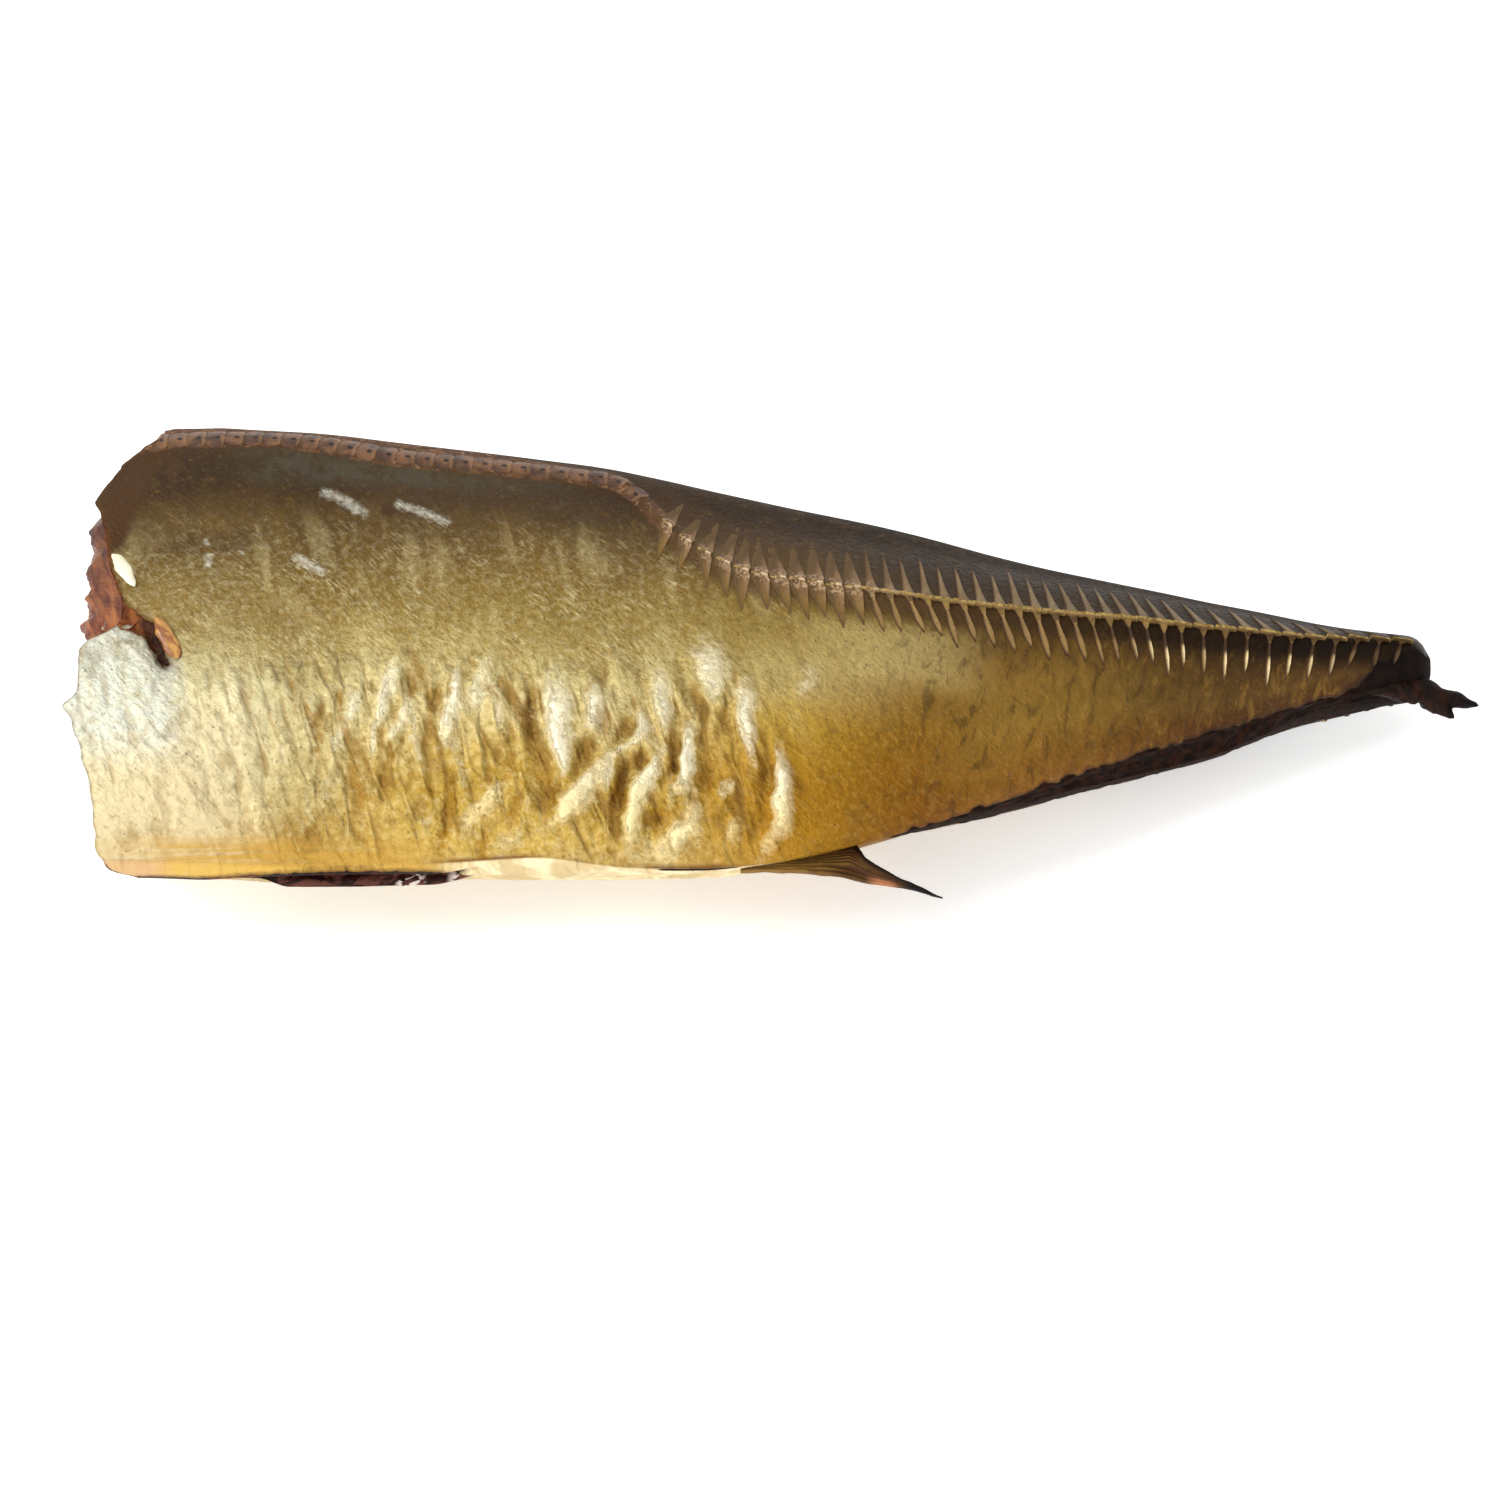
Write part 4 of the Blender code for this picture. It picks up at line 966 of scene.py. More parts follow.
top_v, bottom_v = BACK_DEPTH[0] - 0.6, -BELLY_DEPTH[0] + 0.4
cut_v = np.linspace(top_v, bottom_v, CUT_ROWS)[:, None]
cut_upper = np.interp(-cut_v, -upper_v[0], upper_w[0]) - CUT_INSET
cut_lower = np.interp(-cut_v, -lower_v[0], -lower_w[0], right=0.3) - CUT_INSET
cut_lower = np.where(cut_v < lower_v[0, -1], 0.05, cut_lower)
half_spacing = (1 - np.cos(np.linspace(0, math.pi, CUT_COLUMNS + 1))) / 2
spacing = np.concatenate([-half_spacing[:0:-1], half_spacing])[None, :]
cut_w = np.where(spacing > 0, spacing * np.maximum(cut_upper, 0.1), spacing * np.maximum(cut_lower, 0.05))
cut_grid_v = cut_v + 0 * cut_w
rim_distance = np.minimum(cut_upper - cut_w, cut_lower + cut_w)
rim_distance = np.minimum(rim_distance, np.minimum(top_v - cut_grid_v, cut_grid_v - bottom_v))
rise = np.sin(math.pi / 2 * np.clip(rim_distance / 3.2, 0, 1))
knife, shrunk = cut_back(cut_grid_v, cut_w)
fleshy = ease(0, 2.2, shrunk)
lumps = 1.9 * unevenness(cut_grid_v / 2.8, cut_w / 2.8, 2.2)
lumps = lumps + 0.9 * unevenness(cut_grid_v / 1.1, cut_w / 1.1, 8.8)
upper_side = ease(2, 12, cut_w)
slant = cut_grid_v + KNIFE_SLANT * cut_w
tips = 2.4 * bump(slant - 21.8, 1.6) + 1.2 * bump(slant - 3.4, 1.5)
meaty = fleshy * (0.4 + 0.5 * (lumps + upper_side * tips)) + 0.25 * lumps
bulge = -0.7 - shrunk * (1 - rise) + rise * meaty
from_spine = np.hypot(cut_grid_v - SPINE_AT, cut_w)
spine = 1 - ease(SPINE_RADIUS - 0.4, SPINE_RADIUS + 0.4, from_spine)
cup = 0.9 - 1.8 * (1 - np.clip(from_spine / SPINE_RADIUS, 0, 1)) ** 1.3
bulge = bulge * (1 - spine) + (cup - 0.5) * spine
arch = bump(np.abs(cut_w) - 0.32 * (SPINE_AT + 13 - cut_grid_v), 0.55) * between(6.5, 14, 0.8, cut_grid_v)
bulge = bulge + 0.5 * arch
canal = bump(np.hypot(cut_grid_v - 8.2, cut_w), 1.2)
bulge = bulge - 2.2 * canal
seam = between(-31, -6, 2, cut_grid_v) * bump(cut_w, 0.5)
bulge = bulge - 1.4 * seam
slit = (1 - ease(0.35, 0.75, np.abs(cut_w))) * (1 - ease(-32.5, -31, cut_grid_v))
bulge = bulge * (1 - slit) - 7 * slit
cut_x = HEAD_X + knife
front_points = place(cut_x - bulge, cut_grid_v, cut_w)
back_points = place(cut_x + np.maximum(PLUG_DEPTH + shrunk, 8 * slit + 1), cut_grid_v, cut_w * 0.98)
dark_meat = between(-9, 12, 4, cut_grid_v) * ease(3, 14, np.abs(cut_w))
dark_meat = np.maximum(dark_meat, bump(from_spine - SPINE_RADIUS - 1, 1.2))
dark_meat = dark_meat + ease(12, 20, slant) * upper_side


def grid_faces(rows, columns, start, flip):
    """Quads of a grid whose points begin at start."""
    faces = []
    for row in range(rows - 1):
        for column in range(columns - 1):
            corner = start + row * columns + column
            quad = (corner, corner + 1, corner + columns + 1, corner + columns)
            faces.append(quad[::-1] if flip else quad)
    return faces


def grid_rim(rows, columns):
    """The border points of a grid, in order all round."""
    top = list(range(columns))
    right = [row * columns + columns - 1 for row in range(1, rows)]
    bottom = [(rows - 1) * columns + column for column in range(columns - 2, -1, -1)]
    left = [row * columns for row in range(rows - 2, 0, -1)]
    return top + right + bottom + left


def slab_faces(rows, columns):
    """A closed slab between a front grid and a back grid of the same size."""
    count = rows * columns
    faces = grid_faces(rows, columns, 0, False) + grid_faces(rows, columns, count, True)
    rim = grid_rim(rows, columns)
    for first, second in zip(rim, rim[1:] + rim[:1]):
        faces.append((second, first, first + count, second + count))
    return faces


plug_points = np.concatenate([front_points.reshape(-1, 3), back_points.reshape(-1, 3)])
plug_rows, plug_columns = cut_w.shape


def twice(values):
    """The values for the front grid and again for the back grid."""
    return np.concatenate([np.ravel(values)] * 2)


plug_marks = {
    "bone": twice(np.maximum(spine, arch * 0.8)),
    "dark": twice(dark_meat),
    "lining": twice(np.maximum(slit, seam)),
    "hole": twice(canal),
}
plug = mesh_piece("head_cut_flesh", plug_points, slab_faces(plug_rows, plug_columns), plug_marks)

flesh_material, tree = new_material("cut_flesh")
meat = flesh_look(tree, mark(tree, "dark").scaled(0.44, -0.16))
bone_grain = cloud(in_mm(tree), 0.8, 3, 0.6)
bone_colour = blend(bone_grain, (150, 108, 70), (222, 202, 156))
colour = blend(mark(tree, "bone").step(0.3, 0.8), meat["Color"], bone_colour)
colour = colour.tint(mark(tree, "lining").step(0.2, 0.8), 52, 26, 26)
colour = colour.tint(mark(tree, "hole").step(0.3, 0.8), 30, 12, 10)
wet = {"Specular IOR Level": 0.35, "Subsurface Weight": 0.1, "Subsurface Radius": (0.002, 0.0008, 0.0004)}
finish_look(tree, colour, blend_values(bone_grain, 0.3, 0.55), wet, meat["Height"] * 0.4)
plug.data.materials.append(flesh_material)
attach(plug, "root")


# The bony plates of the lateral line: horny scutes, each with an upper and a lower point and a keel that
# ends in a spine. They grow in the skin and overlap to the tail, tall on the tail stalk and small in front.

SCUTE_PITCH, RAY_START, CLEAR_OF_TABLE = 2.9, 30, 2 * MM
# Rows of a plate from its upper to its lower point: height on the line, width, and how high its crest stands
SCUTE_ROWS = (
    (1, 0.03, 0.03), (0.75, 0.14, 0.22), (0.5, 0.22, 0.34), (0.28, 0.32, 0.42), (0.12, 0.46, 0.5),
    (0.045, 0.62, 0.6), (0.022, 1.12, 0.8), (-0.02, 1.12, 0.75), (-0.04, 0.42, 0.6), (-0.1, 0.32, 0.62),
    (-0.16, 0.17, 0.5), (-0.22, 0.12, 0.32), (-0.42, 0.2, 0.34), (-0.65, 0.24, 0.42), (-0.85, 0.17, 0.3),
    (-1, 0.04, 0.04),
)
BROAD_SCUTE_ROWS = (
    (1, 0.08, 0.02), (0.75, 0.4, 0.12), (0.5, 0.58, 0.2), (0.25, 0.84, 0.3), (0.1, 1.02, 0.4),
    (0.045, 0.9, 0.75), (-0.03, 0.9, 0.8), (-0.09, 1.02, 0.42), (-0.3, 0.82, 0.38), (-0.52, 0.58, 0.34),
    (-0.78, 0.34, 0.24), (-1, 0.08, 0.03),
)
PLATE_ROWS = (
    (1, 0.5, 0.02), (0.72, 0.95, 0.08), (0.36, 1.1, 0.13), (0, 1.15, 0.16), (-0.36, 1.1, 0.13),
    (-0.72, 0.95, 0.08), (-1, 0.5, 0.02),
)


# Across a plate: the shares of its width, and how deep its root lies in the skin
PLATE_ACROSS, ROOT_DEPTH = (-0.5, -0.46, -0.05, 0.36, 0.5, 0.46), -0.35


def plate_model(name, rows, even_keel=False):
    """One plate in its own measures: x is a share of the pitch, y a share of the reach, and z is in mm."""
    cast = []
    for height, width, crest in rows:
        keel = even_keel and abs(height) < 0.03
        front, middle = (0.85 * crest, crest * 0.92) if keel else (0.03, crest * 0.6)
        depths = (ROOT_DEPTH, front, middle, crest, 0.75 * crest, ROOT_DEPTH)
        cast.extend((share * width, height, depth) for share, depth in zip(PLATE_ACROSS, depths))
    faces = loop_faces(len(rows), 6)
    faces.append(tuple(range(5, -1, -1)))
    first = 6 * (len(rows) - 1)
    faces.append(tuple(range(first, first + 6)))
    cast = np.array(cast)
    return mesh_piece(name, cast * MM, faces, {"cast": cast})


middle_rows = [
    (height, width * (1.6 if height < -0.15 else 1.2 if height > 0.03 else 1), crest)
    for height, width, crest in SCUTE_ROWS
]
middle_shape = plate_model("middle_scute_shape", middle_rows, True)
scute_shape = plate_model("scute_shape", SCUTE_ROWS, True)
broad_shape = plate_model("broad_scute_shape", BROAD_SCUTE_ROWS)
plate_shape = plate_model("line_plate_shape", PLATE_ROWS)


def line_marks(x, side, reach, lean, height):
    """The marks of the points at x that the plates of one side grow on: their places and measures."""
    line = line_v(x)
    slope = (line_v(x + 0.5) - line_v(x - 0.5)) * (1 + 0 * x)
    roll = np.radians(at(ROLL_DEGREES, x))
    zero = 0 * x
    out = np.stack([zero, -np.sin(roll) * side, np.cos(roll) * side], axis=1)
    run = np.stack([1 + zero, slope * np.cos(roll), slope * np.sin(roll)], axis=1)
    run /= np.linalg.norm(run, axis=1)[:, None]
    return {
        "above": place(x, line, side * RAY_START + zero, -RAY_START),
        "out": out,
        "run": run,
        "across": np.cross(out, run) * side,
        "reach": np.stack([*reach, height], axis=1),
        "lean": np.stack([*lean, zero], axis=1),
    }


plate_inputs = {"Geometry": "Geometry", "Plate": "Object", "Skin": "Object", "Pitch": "Float"}
plate_inputs.update({"Wobble": "Float", "Seed": "Int", "Material": "Material"})
plate_tree, given, results = node_group(
    "plates_on_skin", "GeometryNodeTree", plate_inputs, {"Geometry": "Geometry"}
)


def step_of_growth(kind, inputs=None, output="Geometry", **settings):
    """What a Geometry node of the plates puts out."""
    return Value(add_node(plate_tree, "GeometryNode" + kind, inputs, **settings).outputs[output])


def named(name, kind="FLOAT_VECTOR"):
    """A mark of the points that the plates grow on."""
    return step_of_growth("InputNamedAttribute", {"Name": name}, "Attribute", data_type=kind)


def varied(shift):
    """A factor near 1 that differs from plate to plate."""
    seed = add_node(plate_tree, "FunctionNodeIntegerMath", {0: given["Seed"], 1: shift}, operation="ADD")
    inputs = {"ID": named("number", "INT"), "Seed": Value(seed.outputs[0])}
    node = add_node(plate_tree, "FunctionNodeRandomValue", inputs, data_type="FLOAT")
    ends = [socket for socket in node.inputs if socket.enabled and socket.type == "VALUE"]
    feed(ends[0], 1 - given["Wobble"])
    feed(ends[1], given["Wobble"] + 1)
    return next(Value(socket) for socket in node.outputs if socket.enabled and socket.type == "VALUE")


numbered = step_of_growth(
    "StoreNamedAttribute",
    {"Geometry": given["Geometry"], "Name": "number", "Value": step_of_growth("InputIndex", None, "Index")},
    data_type="INT",
    domain="POINT",
)
plate_geometry = step_of_growth("ObjectInfo", {"Object": given["Plate"]})
skin_geometry = step_of_growth("ObjectInfo", {"Object": given["Skin"]})
planted = step_of_growth("InstanceOnPoints", {"Points": numbered, "Instance": plate_geometry}, "Instances")
real = step_of_growth("RealizeInstances", {"Geometry": planted})
cast_x, cast_y, cast_z = parts(named("cast"))
reach_up, reach_down, reach_out = parts(named("reach"))
lean_up, lean_down, _ = parts(named("lean"))
upward = cast_y.larger(0)
downward = (cast_y * -1).larger(0)
go_across = upward * reach_up * varied(1) - downward * reach_down * varied(2)
go_along = cast_x * given["Pitch"] + (upward * lean_up * varied(3) + downward * lean_down * varied(4))
to_side = vectors("SCALE", named("across"), go_across * MM)
to_tail = vectors("SCALE", named("run"), go_along * MM)
ray_inputs = {
    "Target Geometry": skin_geometry,
    "Source Position": vectors("ADD", named("above"), vectors("ADD", to_side, to_tail)),
    "Ray Direction": vectors("SCALE", named("out"), -1.0),
    "Ray Length": 2 * RAY_START * MM,
}
ray = add_node(plate_tree, "GeometryNodeRaycast", ray_inputs)
hit_place, hit_normal = (Value(ray.outputs[name]) for name in ("Hit Position", "Hit Normal"))
# The plate's own height raises its crest, but the root lies as deep in the skin as the shape says
lift_by = blend_values(sums("LESS_THAN", cast_z, 0), cast_z * (reach_out * MM), cast_z * MM)
settled = vectors("ADD", hit_place, vectors("SCALE", hit_normal, lift_by))
moved = step_of_growth("SetPosition", {"Geometry": real, "Position": settled})
feed(results[0], step_of_growth("SetMaterial", {"Geometry": moved, "Material": given["Material"]}))

scute_material, tree = new_material("scutes_and_fin")
cast_x, cast_y, cast_z = parts(mark(tree, "cast", "Vector"))
stalk_x = parts(in_mm(tree))[0]
horn_grain = grain(tree, 6, 0.5)
on_stalk = stalk_x.step(20, 60)
crest_share = cast_z.step(0.04, 0.24)
in_front = stalk_x.step(24, 4)
upper_horn = blend(on_stalk, (132, 108, 78), (128, 112, 90))
lower_horn = blend(on_stalk, (148, 118, 72), (128, 98, 56))
horn = blend(cast_y.step(-0.05, 0.05), lower_horn, upper_horn)
front_horn = blend(cast_y.step(-0.1, -0.5), (100, 75, 48), (120, 92, 50))
# Front plates: a painted highlight along the ridge and painted shadow on the head's side of each plate
ridge_highlight = cast_x.step(0.04, 0.24) * horn_grain["Patches"].step(0.3, 0.6, 0.1, 0.75)
front_horn = front_horn.tint(ridge_highlight, 154, 122, 86)
front_horn = front_horn.tint(cast_x.step(0, -0.3, 0, 0.85), 56, 38, 22)
front_horn = front_horn.tint(cast_y.step(-0.35, -0.8, 0, 0.9), 120, 92, 42)
front_horn = front_horn.tint(cast_y.step(0.2, 0.7, 0, 0.9), 76, 57, 38)
# Painted highlights on the keel knobs of the front plates
knob_highlight = cast_y.step(0.26, 0.1) * cast_y.step(-0.3, -0.12)
knob_highlight *= horn_grain["Grain"].step(0.44, 0.6, 0, 0.75)
front_horn = front_horn.tint(knob_highlight, 196, 164, 128)
horn = blend(in_front, horn, front_horn).tint(horn_grain["Patches"].step(0.4, 0.65, 0, 0.4), 88, 64, 40)
# Painted shade where a plate lies low, at its root and its tucked front edge
horn = blend(crest_share, blend(in_front, (60, 40, 22), (96, 74, 44)), horn)
horn = horn.tint(stalk_x.step(80, 90, 0, 0.7), 44, 28, 14)
# Painted shadow on the stems below the keels of the tail stalk
stem_shade = cast_y.step(-0.17, -0.22) * cast_y.step(-0.56, -0.4) * stalk_x.step(40, 52, 0, 0.9)
horn = horn.tint(stem_shade, 50, 32, 15)
glint = cast_y.step(-0.42, -0.55) * cast_y.step(-0.98, -0.9) * (stalk_x.step(50, 58) * stalk_x.step(88, 78))
glint *= horn_grain["Patches"].step(0.3, 0.5, 0.25, 1)
glint *= cast_z.step(0.16, 0.36)
horn = horn.tint(glint, 222, 200, 150)
nub = cast_y.step(-0.2, -0.16) * cast_y.step(-0.02, -0.05) * in_front.step(1, 0)
nub_colour = blend(horn_grain["Patches"].step(0.35, 0.6), (72, 50, 24), (132, 104, 52))
nub_colour = nub_colour.tint(stalk_x.step(54, 74, 0, 0.8), 58, 38, 18)
colour = blend(nub * crest_share, horn, nub_colour)
keel_share = abs(cast_y - 0.003).step(0.03, 0.018)
keel_colour = blend(horn_grain["Grain"].step(0.35, 0.65), (112, 86, 42), (176, 148, 86))
# Painted highlights on the knobs of the front keel
keel_knob_highlight = cast_x.step(0.06, 0.16) * cast_x.step(0.44, 0.36)
keel_colour = keel_colour.tint(in_front * keel_knob_highlight, 216, 194, 160)
colour = blend(keel_share * in_front.step(0, 1, 1, 0.85), colour, keel_colour)
colour = colour.tint(horn_grain["Pits"] * 0.35, 60, 40, 22)
horn_gloss = blend_values(horn_grain["Grain"], 0.4, 0.6)
finish_look(tree, colour, horn_gloss, {"Specular IOR Level": 0.15}, horn_grain["Grain"] * 0.14)

band_material, tree = new_material("line_plates")
cast_x, cast_y, cast_z = parts(mark(tree, "cast", "Vector"))
band_grain = grain(tree, 3, 0.4)
colour = blend(band_grain["Patches"].step(0.36, 0.64), (70, 44, 27), (120, 82, 52))
# A painted highlight towards each plate's rear edge, and painted shade along its low edges
colour = colour.tint(cast_x.step(0.28, 0.42, 0, 0.35), 152, 112, 76)
colour = colour.tint(cast_z.step(0.06, 0.01, 0, 0.5), 56, 34, 20)
pore_across = (cast_y + 0.12) * 0.9
pore_along = cast_x - 0.2
pore_gap = sums("SQRT", sums("POWER", abs(pore_across), 2) + sums("POWER", abs(pore_along), 2))
colour = colour.tint(pore_gap.step(0.19, 0.1), 26, 12, 6)
band_gloss = blend_values(band_grain["Grain"], 0.4, 0.6)
finish_look(tree, colour, band_gloss, {"Specular IOR Level": 0.3}, band_grain["Grain"] * 0.2)


def grow_plates(name, shape, marks, pitch, wobble, seed, material):
    """Plates planted on the skin at the marks, turned into one plain mesh."""
    obj = mesh_piece(name, marks["above"], [], marks)
    growth = obj.modifiers.new("grow", "NODES")
    growth.node_group = plate_tree
    values = {"Plate": shape, "Skin": skin, "Pitch": pitch, "Wobble": wobble, "Seed": seed}
    values["Material"] = material
    for item in plate_tree.interface.items_tree:
        if item.item_type == "SOCKET" and item.in_out == "INPUT" and item.name in values:
            growth[item.identifier] = values[item.name]
    graph = bpy.context.evaluated_depsgraph_get()
    grown = bpy.data.meshes.new_from_object(obj.evaluated_get(graph))
    obj.modifiers.clear()
    obj.data = grown
    grown.name = name
    grown.set_sharp_from_angle(angle=math.radians(50))
    return obj


def spaced(start, end, pitch_front, pitch_rear, change_at):
    """Places from start to end whose distance changes at one place."""
    places = [start]
    while places[-1] < end:
        places.append(places[-1] + (pitch_front if places[-1] < change_at else pitch_rear))
    return np.array(places)


def table(places, *pairs):
    """At the places, a smooth curve through x, value, x, value and so on."""
    return along(np.array(pairs[::2], dtype=float), np.array(pairs[1::2], dtype=float), places)


tall_x = spaced(-15.6, 94, 2.77, 3.45, 60)
tall_reach = table(tall_x, -16, 5, -8, 8, 10, 9, 20, 10, 36, 10.4, 48, 9.6, 61, 8, 75, 6, 90, 3, 99, 2.2)
low_reach = table(tall_x, -16, 5.5, -3, 6.4, 15, 6.4, 30, 7, 45, 7.4, 60, 7.6, 75, 7.4, 90, 4.4, 99, 2.6)
lean_back = table(tall_x, -16, -3, -8, -2, 0, -1.2, 20, -1.2, 36, -1.3, 48, -2, 61, -2.7, 75, -3, 99, -2.4)
lean_in_front = (-16, 5, -10, 4, -3, 2.6, 22, 2.3, 36, 2, 50, 1.5)
lean_low = table(tall_x, *lean_in_front, 57, 0.8, 62, 0, 70, -0.8, 88, -1.7, 99, -1.2)
tall_height = table(tall_x, -16, 0.4, 6, 0.55, 26, 0.95, 99, 1)
front_x = np.arange(-93, -19, 2.9)
front_reach = table(front_x, -93, 2.5, -60, 2.4, -30, 2.1, -17, 2)
front_lean = 0 * front_x + 0.4
front_height = table(front_x, -93, 0.9, -50, 0.9, -17, 1)
for side, side_name, share_of_reach, share_of_height in ((1, "upper", 1, 1), (-1, "lower", 0.55, 0.6)):
    clear = place(tall_x, line_v(tall_x), side * (at(HALF_WIDTH, tall_x) + 1.1))[:, 2] > CLEAR_OF_TABLE
    for first, last, shape, part_name in (
        (-99, 14, broad_shape, "front_scutes"),
        (14, 47, middle_shape, "middle_scutes"),
        (47, 99, scute_shape, "tail_scutes"),
    ):
        keep = clear & (tall_x >= first) & (tall_x < last)
        if not keep.any():
            continue
        reach = (tall_reach[keep] * share_of_reach, low_reach[keep] * share_of_reach)
        lean = (lean_back[keep], lean_low[keep])
        marks = line_marks(tall_x[keep], side, reach, lean, tall_height[keep] * share_of_height)
        name = f"{part_name}_{side_name}_flank"
        scutes = grow_plates(name, shape, marks, SCUTE_PITCH, 0.13, 5, scute_material)
        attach(scutes, "root")
    high = place(front_x, line_v(front_x), side * at(HALF_WIDTH, front_x) * 0.8)[:, 2] > CLEAR_OF_TABLE
    reach, lean = (front_reach[high],) * 2, (front_lean[high],) * 2
    marks = line_marks(front_x[high], side, reach, lean, front_height[high])
    name = f"line_plates_{side_name}_flank"
    plates = grow_plates(name, plate_shape, marks, SCUTE_PITCH, 0.12, 11, band_material)
    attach(plates, "root")
for shape in (scute_shape, broad_shape, middle_shape, plate_shape):
    bpy.data.objects.remove(shape)


# The stump of the anal fin: rays and membrane that were folded back when the fin was sliced off, with one
# thick dark ray on top. It is dry and thin, and is rooted in the belly edge behind the slit.

# The stump's lower and upper edge as (x, v)
FIN_LOW = ((-4.5, -40.2), (4.3, -40.8), (9, -41), (14.5, -41.8), (19.5, -42.4), (22.6, -43.3), (25.2, -44.4))
FIN_HIGH = (
    (-4.5, -39.4), (4, -37.4), (12.4, -34.6), (14, -37.5), (18.4, -40.4), (22.5, -42.5), (25.2, -44.4)
)
FIN_STEPS, FIN_ROWS, FIN_RAYS = 70, 40, 7


def path_points(points, shares):
    """Points along a line through the given ones, at shares of its length."""
    points = np.array(points, dtype=float)
    lengths = np.concatenate([[0], np.cumsum(np.linalg.norm(np.diff(points, axis=0), axis=1))])
    wanted = np.asarray(shares) * lengths[-1]
    return np.stack([np.interp(wanted, lengths, column) for column in points.T], axis=-1)


fin_along = np.linspace(0, 1, FIN_STEPS)[:, None]
fin_across = np.linspace(0, 1, FIN_ROWS)[None, :]
low_edge, high_edge = (path_points(edge, fin_along[:, 0])[:, None, :] for edge in (FIN_LOW, FIN_HIGH))
fin_sheet = low_edge + (high_edge - low_edge) * fin_across[..., None]
fin_x, fin_v = fin_sheet[..., 0], fin_sheet[..., 1]
bent = fin_across + 0.3 * unevenness(fin_across * 3, fin_along * 2.5, 9.9)
ray_wave = np.cos(2 * math.pi * FIN_RAYS * bent) * (1 - fin_along * 0.5)
fin_half = 0.34 - 0.2 * fin_along + 0.1 * ray_wave
fin_half = fin_half + 0.1 * unevenness(fin_x / 1.5, fin_v / 0.6, 5.5)
sway = 0.5 * np.sin(fin_along * 5) + 0.6 * unevenness(fin_x / 4, fin_v / 3, 1.1)
fin_points = [place(fin_x, fin_v, sway + side * fin_half).reshape(-1, 3) for side in (1, -1)]
fin_marks = {
    "ray": twice(ray_wave),
    "reach": twice(fin_along + 0 * ray_wave),
    "upper": twice(fin_across + 0 * ray_wave),
}
fin = mesh_piece("anal_fin_stump", np.concatenate(fin_points), slab_faces(FIN_STEPS, FIN_ROWS), fin_marks)

fin_material, tree = new_material("dry_fin")
ray, reach, upper = mark(tree, "ray"), mark(tree, "reach"), mark(tree, "upper")
fin_grain = grain(tree, 4, 0.4)
ray_share = ray.step(-0.6, 0.7)
colour = blend(ray_share, (62, 38, 16), (112, 82, 34))
colour = colour.tint(fin_grain["Patches"].step(0.4, 0.62, 0, 0.8), 66, 38, 16)
colour = colour.tint(reach.step(0.5, 0.2, 0, 0.6), 140, 106, 46)
colour = colour.tint(upper.step(0.55, 0.9, 0, 0.7), 70, 34, 18)
orange = reach.step(0.6, 0.68) * reach.step(0.8, 0.73)
orange *= upper.step(0.36, 0.1)
colour = colour.tint(orange * 0.65, 194, 128, 86)
black = (upper + reach * 0.5).step(0.95, 1.15)
colour = colour.tint(black, 34, 22, 12).tint(reach.step(0.72, 0.86), 20, 15, 12)
fin_gloss = blend_values(fin_grain["Grain"], 0.35, 0.6)
finish_look(tree, colour, fin_gloss, {"Specular IOR Level": 0.15}, fin_grain["Grain"] * 0.12)
fin.data.materials.append(fin_material)
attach(fin, "root")


def strand(name, points, radii, flatness, roughness, steps, sides):
    """A closed lump along a line of (x, v, w) points: radii from end to end, and how flat it is across w."""
    shares = np.linspace(0, 1, steps)
    centre = path_points(points, shares)
    run = np.gradient(centre, axis=0)
    run /= np.linalg.norm(run, axis=1)[:, None]
    radius = np.interp(shares, np.linspace(0, 1, len(radii)), radii)
    radius = radius * np.clip(1 - (2 * shares - 1) ** 10, 0.02, 1)
    side_way = np.stack([-run[:, 1], run[:, 0], 0 * shares], axis=1)
    side_way /= np.maximum(np.linalg.norm(side_way, axis=1), 1e-6)[:, None]
    up_way = np.cross(run, side_way)
    turns = np.linspace(0, 2 * math.pi, sides, endpoint=False)
    wide = side_way[:, None, :] * np.cos(turns)[None, :, None]
    tall = up_way[:, None, :] * np.sin(turns)[None, :, None] * flatness
    round_about = turns[None, :] + 0 * wide[..., 0]
    swell = 1 + roughness * 2 * unevenness(centre[:, None, 0] * 0.9 + wide[..., 1] * 2, round_about, 3.7)
    shape = centre[:, None, :] + (wide + tall) * (radius[:, None] * swell)[..., None]
    points_out = place(shape[..., 0], shape[..., 1], shape[..., 2]).reshape(-1, 3)
    faces = loop_faces(steps, sides, True)
    faces.append(tuple(range(sides)))
    faces.append(tuple(range(steps * sides - 1, (steps - 1) * sides - 1, -1)))
    return mesh_piece(name, points_out, faces, {})


# The torn end past the tail stalk: a dark tough strip of meat and sinew that forks in two points. It is what
# the knife left when the tail fin was cut off.

STUB_STRANDS = (
    (((93, -1.6, 0), (97, -2.8, 0), (100.5, -4.7, 0), (103.2, -6.4, 0)), (2.4, 2.5, 2.0, 1.5)),
    (((99.5, -4.4, 0.3), (103, -6.3, 0.3), (105.5, -7.2, 0.2), (108.3, -7.9, 0)), (1.8, 1.5, 1.15, 0.3)),
    (((99.5, -5.2, -0.2), (102.2, -7.4, -0.4), (104.4, -10.2, -0.6)), (1.8, 1.6, 0.35)),
    (((90, -3.2, 0.6), (95, -4.4, 0.5), (100, -5.4, 0.2)), (0.8, 1.7, 1.8)),
)
strands = [
    strand(f"stub_{number}", points, radii, 0.85, 0.15, 26, 14)
    for number, (points, radii) in enumerate(STUB_STRANDS)
]
stub_points = []
stub_faces = []
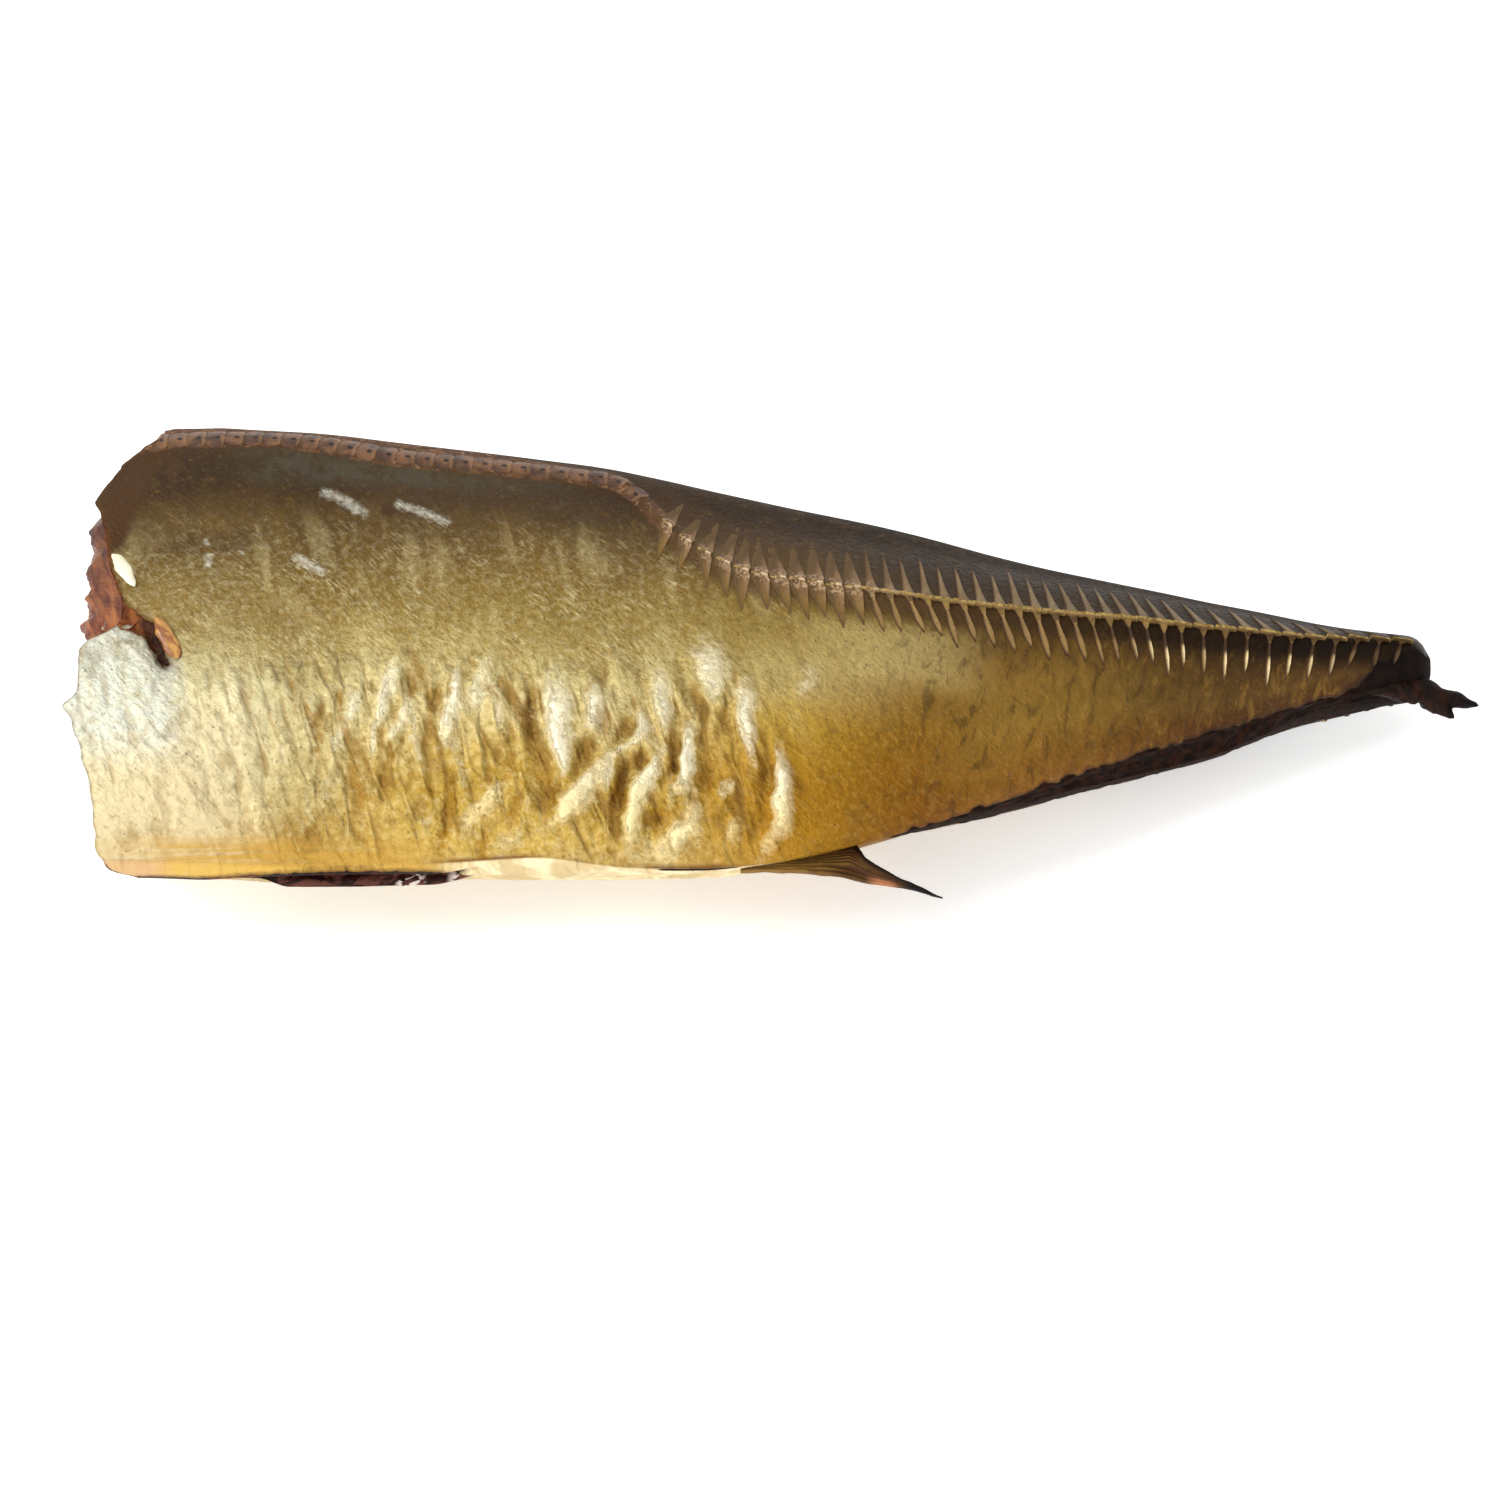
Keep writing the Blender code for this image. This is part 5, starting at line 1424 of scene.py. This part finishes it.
for piece in strands:
    offset = len(stub_points)
    stub_points.extend(vertex.co[:] for vertex in piece.data.vertices)
    stub_faces.extend(tuple(offset + i for i in face.vertices) for face in piece.data.polygons)
    bpy.data.objects.remove(piece)
stub = mesh_piece("torn_tail_end", stub_points, stub_faces, {})
melt = stub.modifiers.new("melt", "REMESH")
melt.mode = "VOXEL"
melt.voxel_size = 0.3 * MM
melt.use_smooth_shade = True
graph = bpy.context.evaluated_depsgraph_get()
melted = bpy.data.meshes.new_from_object(stub.evaluated_get(graph))
stub.modifiers.clear()
stub.data = melted
melted.name = "torn_tail_end"
normals = [vertex.normal.copy() for vertex in melted.vertices]
for vertex, normal in zip(melted.vertices, normals):
    rough = 0.2 * noise.noise(vertex.co * 400) + 0.05 * noise.noise(vertex.co * 1600)
    vertex.co += normal * rough * MM
melted.shade_smooth()

sinew_material, tree = new_material("dark_sinew")
sinew = flesh_look(tree, 1.3)
colour = sinew["Color"].tint(parts(in_mm(tree))[0].step(98, 104, 0, 0.8), 8, 4, 3)
finish_look(tree, colour, 0.5, {"Specular IOR Level": 0.1}, sinew["Height"] * 0.35)
stub.data.materials.append(sinew_material)
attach(stub, "root")


# Scraps left at the head cut: a sliver of shoulder bone on the skin's edge, and the torn orange root of the
# breast fin beside its pit. They stick to the skin.

CHIP_LINE = ((-98.2, 2.6, 20.3), (-96.6, -0.8, 21), (-94.2, -4.9, 21.4))
bone_chip = strand("shoulder_bone_sliver", CHIP_LINE, (0.9, 1.1, 0.95, 0.4), 0.5, 0.35, 30, 14)
bone_material, tree = new_material("cream_bone")
colour = blend(grain(tree, 2.5, 0.4)["Patches"], (214, 206, 160), (248, 246, 222))
finish_look(tree, colour, 0.35, {})
bone_chip.data.materials.append(bone_material)
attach(bone_chip, "root")

FLAP_LINE = ((-91, -10.2, 20.9), (-89.7, -12.2, 20.9), (-88.3, -14.8, 20.4), (-87.2, -17.1, 19.8))
fin_root = strand("breast_fin_root", FLAP_LINE, (0.5, 1.1, 1.35, 1.0), 0.45, 0.2, 44, 18)
root_material, tree = new_material("orange_fin_root")
root_grain = grain(tree, 2.2, 0.5)
root_cloud = cloud(drawn_out(in_mm(tree), -55, 3, 1), 1, 3, 0.6, 0.5)
colour = blend(root_cloud.step(0.38, 0.62), (134, 76, 26), (192, 140, 68))
root_gloss = blend_values(root_grain["Grain"], 0.2, 0.4)
coat = {"Coat Weight": 0.4, "Coat Roughness": 0.15}
finish_look(tree, colour, root_gloss, coat, root_grain["Grain"] * 0.25)
fin_root.data.materials.append(root_material)
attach(fin_root, "root")


# The studio: a pale plain floor with a faint glow of painted light, soft lamps from the head's side and
# the front, and the camera that looks at the flank from the belly side.

floor_mesh = bpy.data.meshes.new("floor")
floor_half, floor_z = 3, -0.0003
corners = [(x * floor_half, y * floor_half, floor_z) for x, y in ((-1, -1), (1, -1), (1, 1), (-1, 1))]
floor_mesh.from_pydata(corners, [], [(0, 1, 2, 3)])
floor = bpy.data.objects.new("floor", floor_mesh)
bpy.context.scene.collection.objects.link(floor)
floor_material, tree = new_material("pale_floor")
colour = blend(cloud(in_mm(tree), 60, 3, 0.5), (243, 243, 242), (248, 248, 247))
# The floor's glow is painted light: it lights the fish from below and fills its shadow
finish_look(tree, colour, 0.7, {"Emission Color": (1, 1, 1, 1), "Emission Strength": 0.4})
floor_mesh.materials.append(floor_material)

world = bpy.data.worlds.new("studio")
bpy.context.scene.world = world
world.use_nodes = True
world.node_tree.nodes["Background"].inputs["Color"].default_value = (1, 1, 1, 1)
world.node_tree.nodes["Background"].inputs["Strength"].default_value = 0.8


def soft_lamp(name, position, size, power):
    """A square lamp that faces the fish."""
    lamp = bpy.data.lights.new(name, "AREA")
    lamp.size = size
    lamp.energy = power
    obj = bpy.data.objects.new(name, lamp)
    obj.location = position
    obj.rotation_euler = (-Vector(position)).to_track_quat("-Z", "Y").to_euler()
    bpy.context.scene.collection.objects.link(obj)


soft_lamp("key_lamp", (-0.7, -0.15, 0.75), 0.45, 5.8)
soft_lamp("front_lamp", (-0.15, -0.9, 0.45), 0.6, 2.9)
soft_lamp("back_lamp", (0.3, 0.7, 0.8), 0.6, 0.4)

camera_data = bpy.data.cameras.new("camera")
camera_data.lens = 138.46
camera_data.sensor_width = 36
camera = bpy.data.objects.new("camera", camera_data)
camera.location = (-0.0052, -0.5799, 0.6701)
camera.rotation_euler = (math.radians(41), 0, 0)
bpy.context.scene.collection.objects.link(camera)
bpy.context.scene.camera = camera
bpy.context.scene.view_settings.view_transform = "Standard"
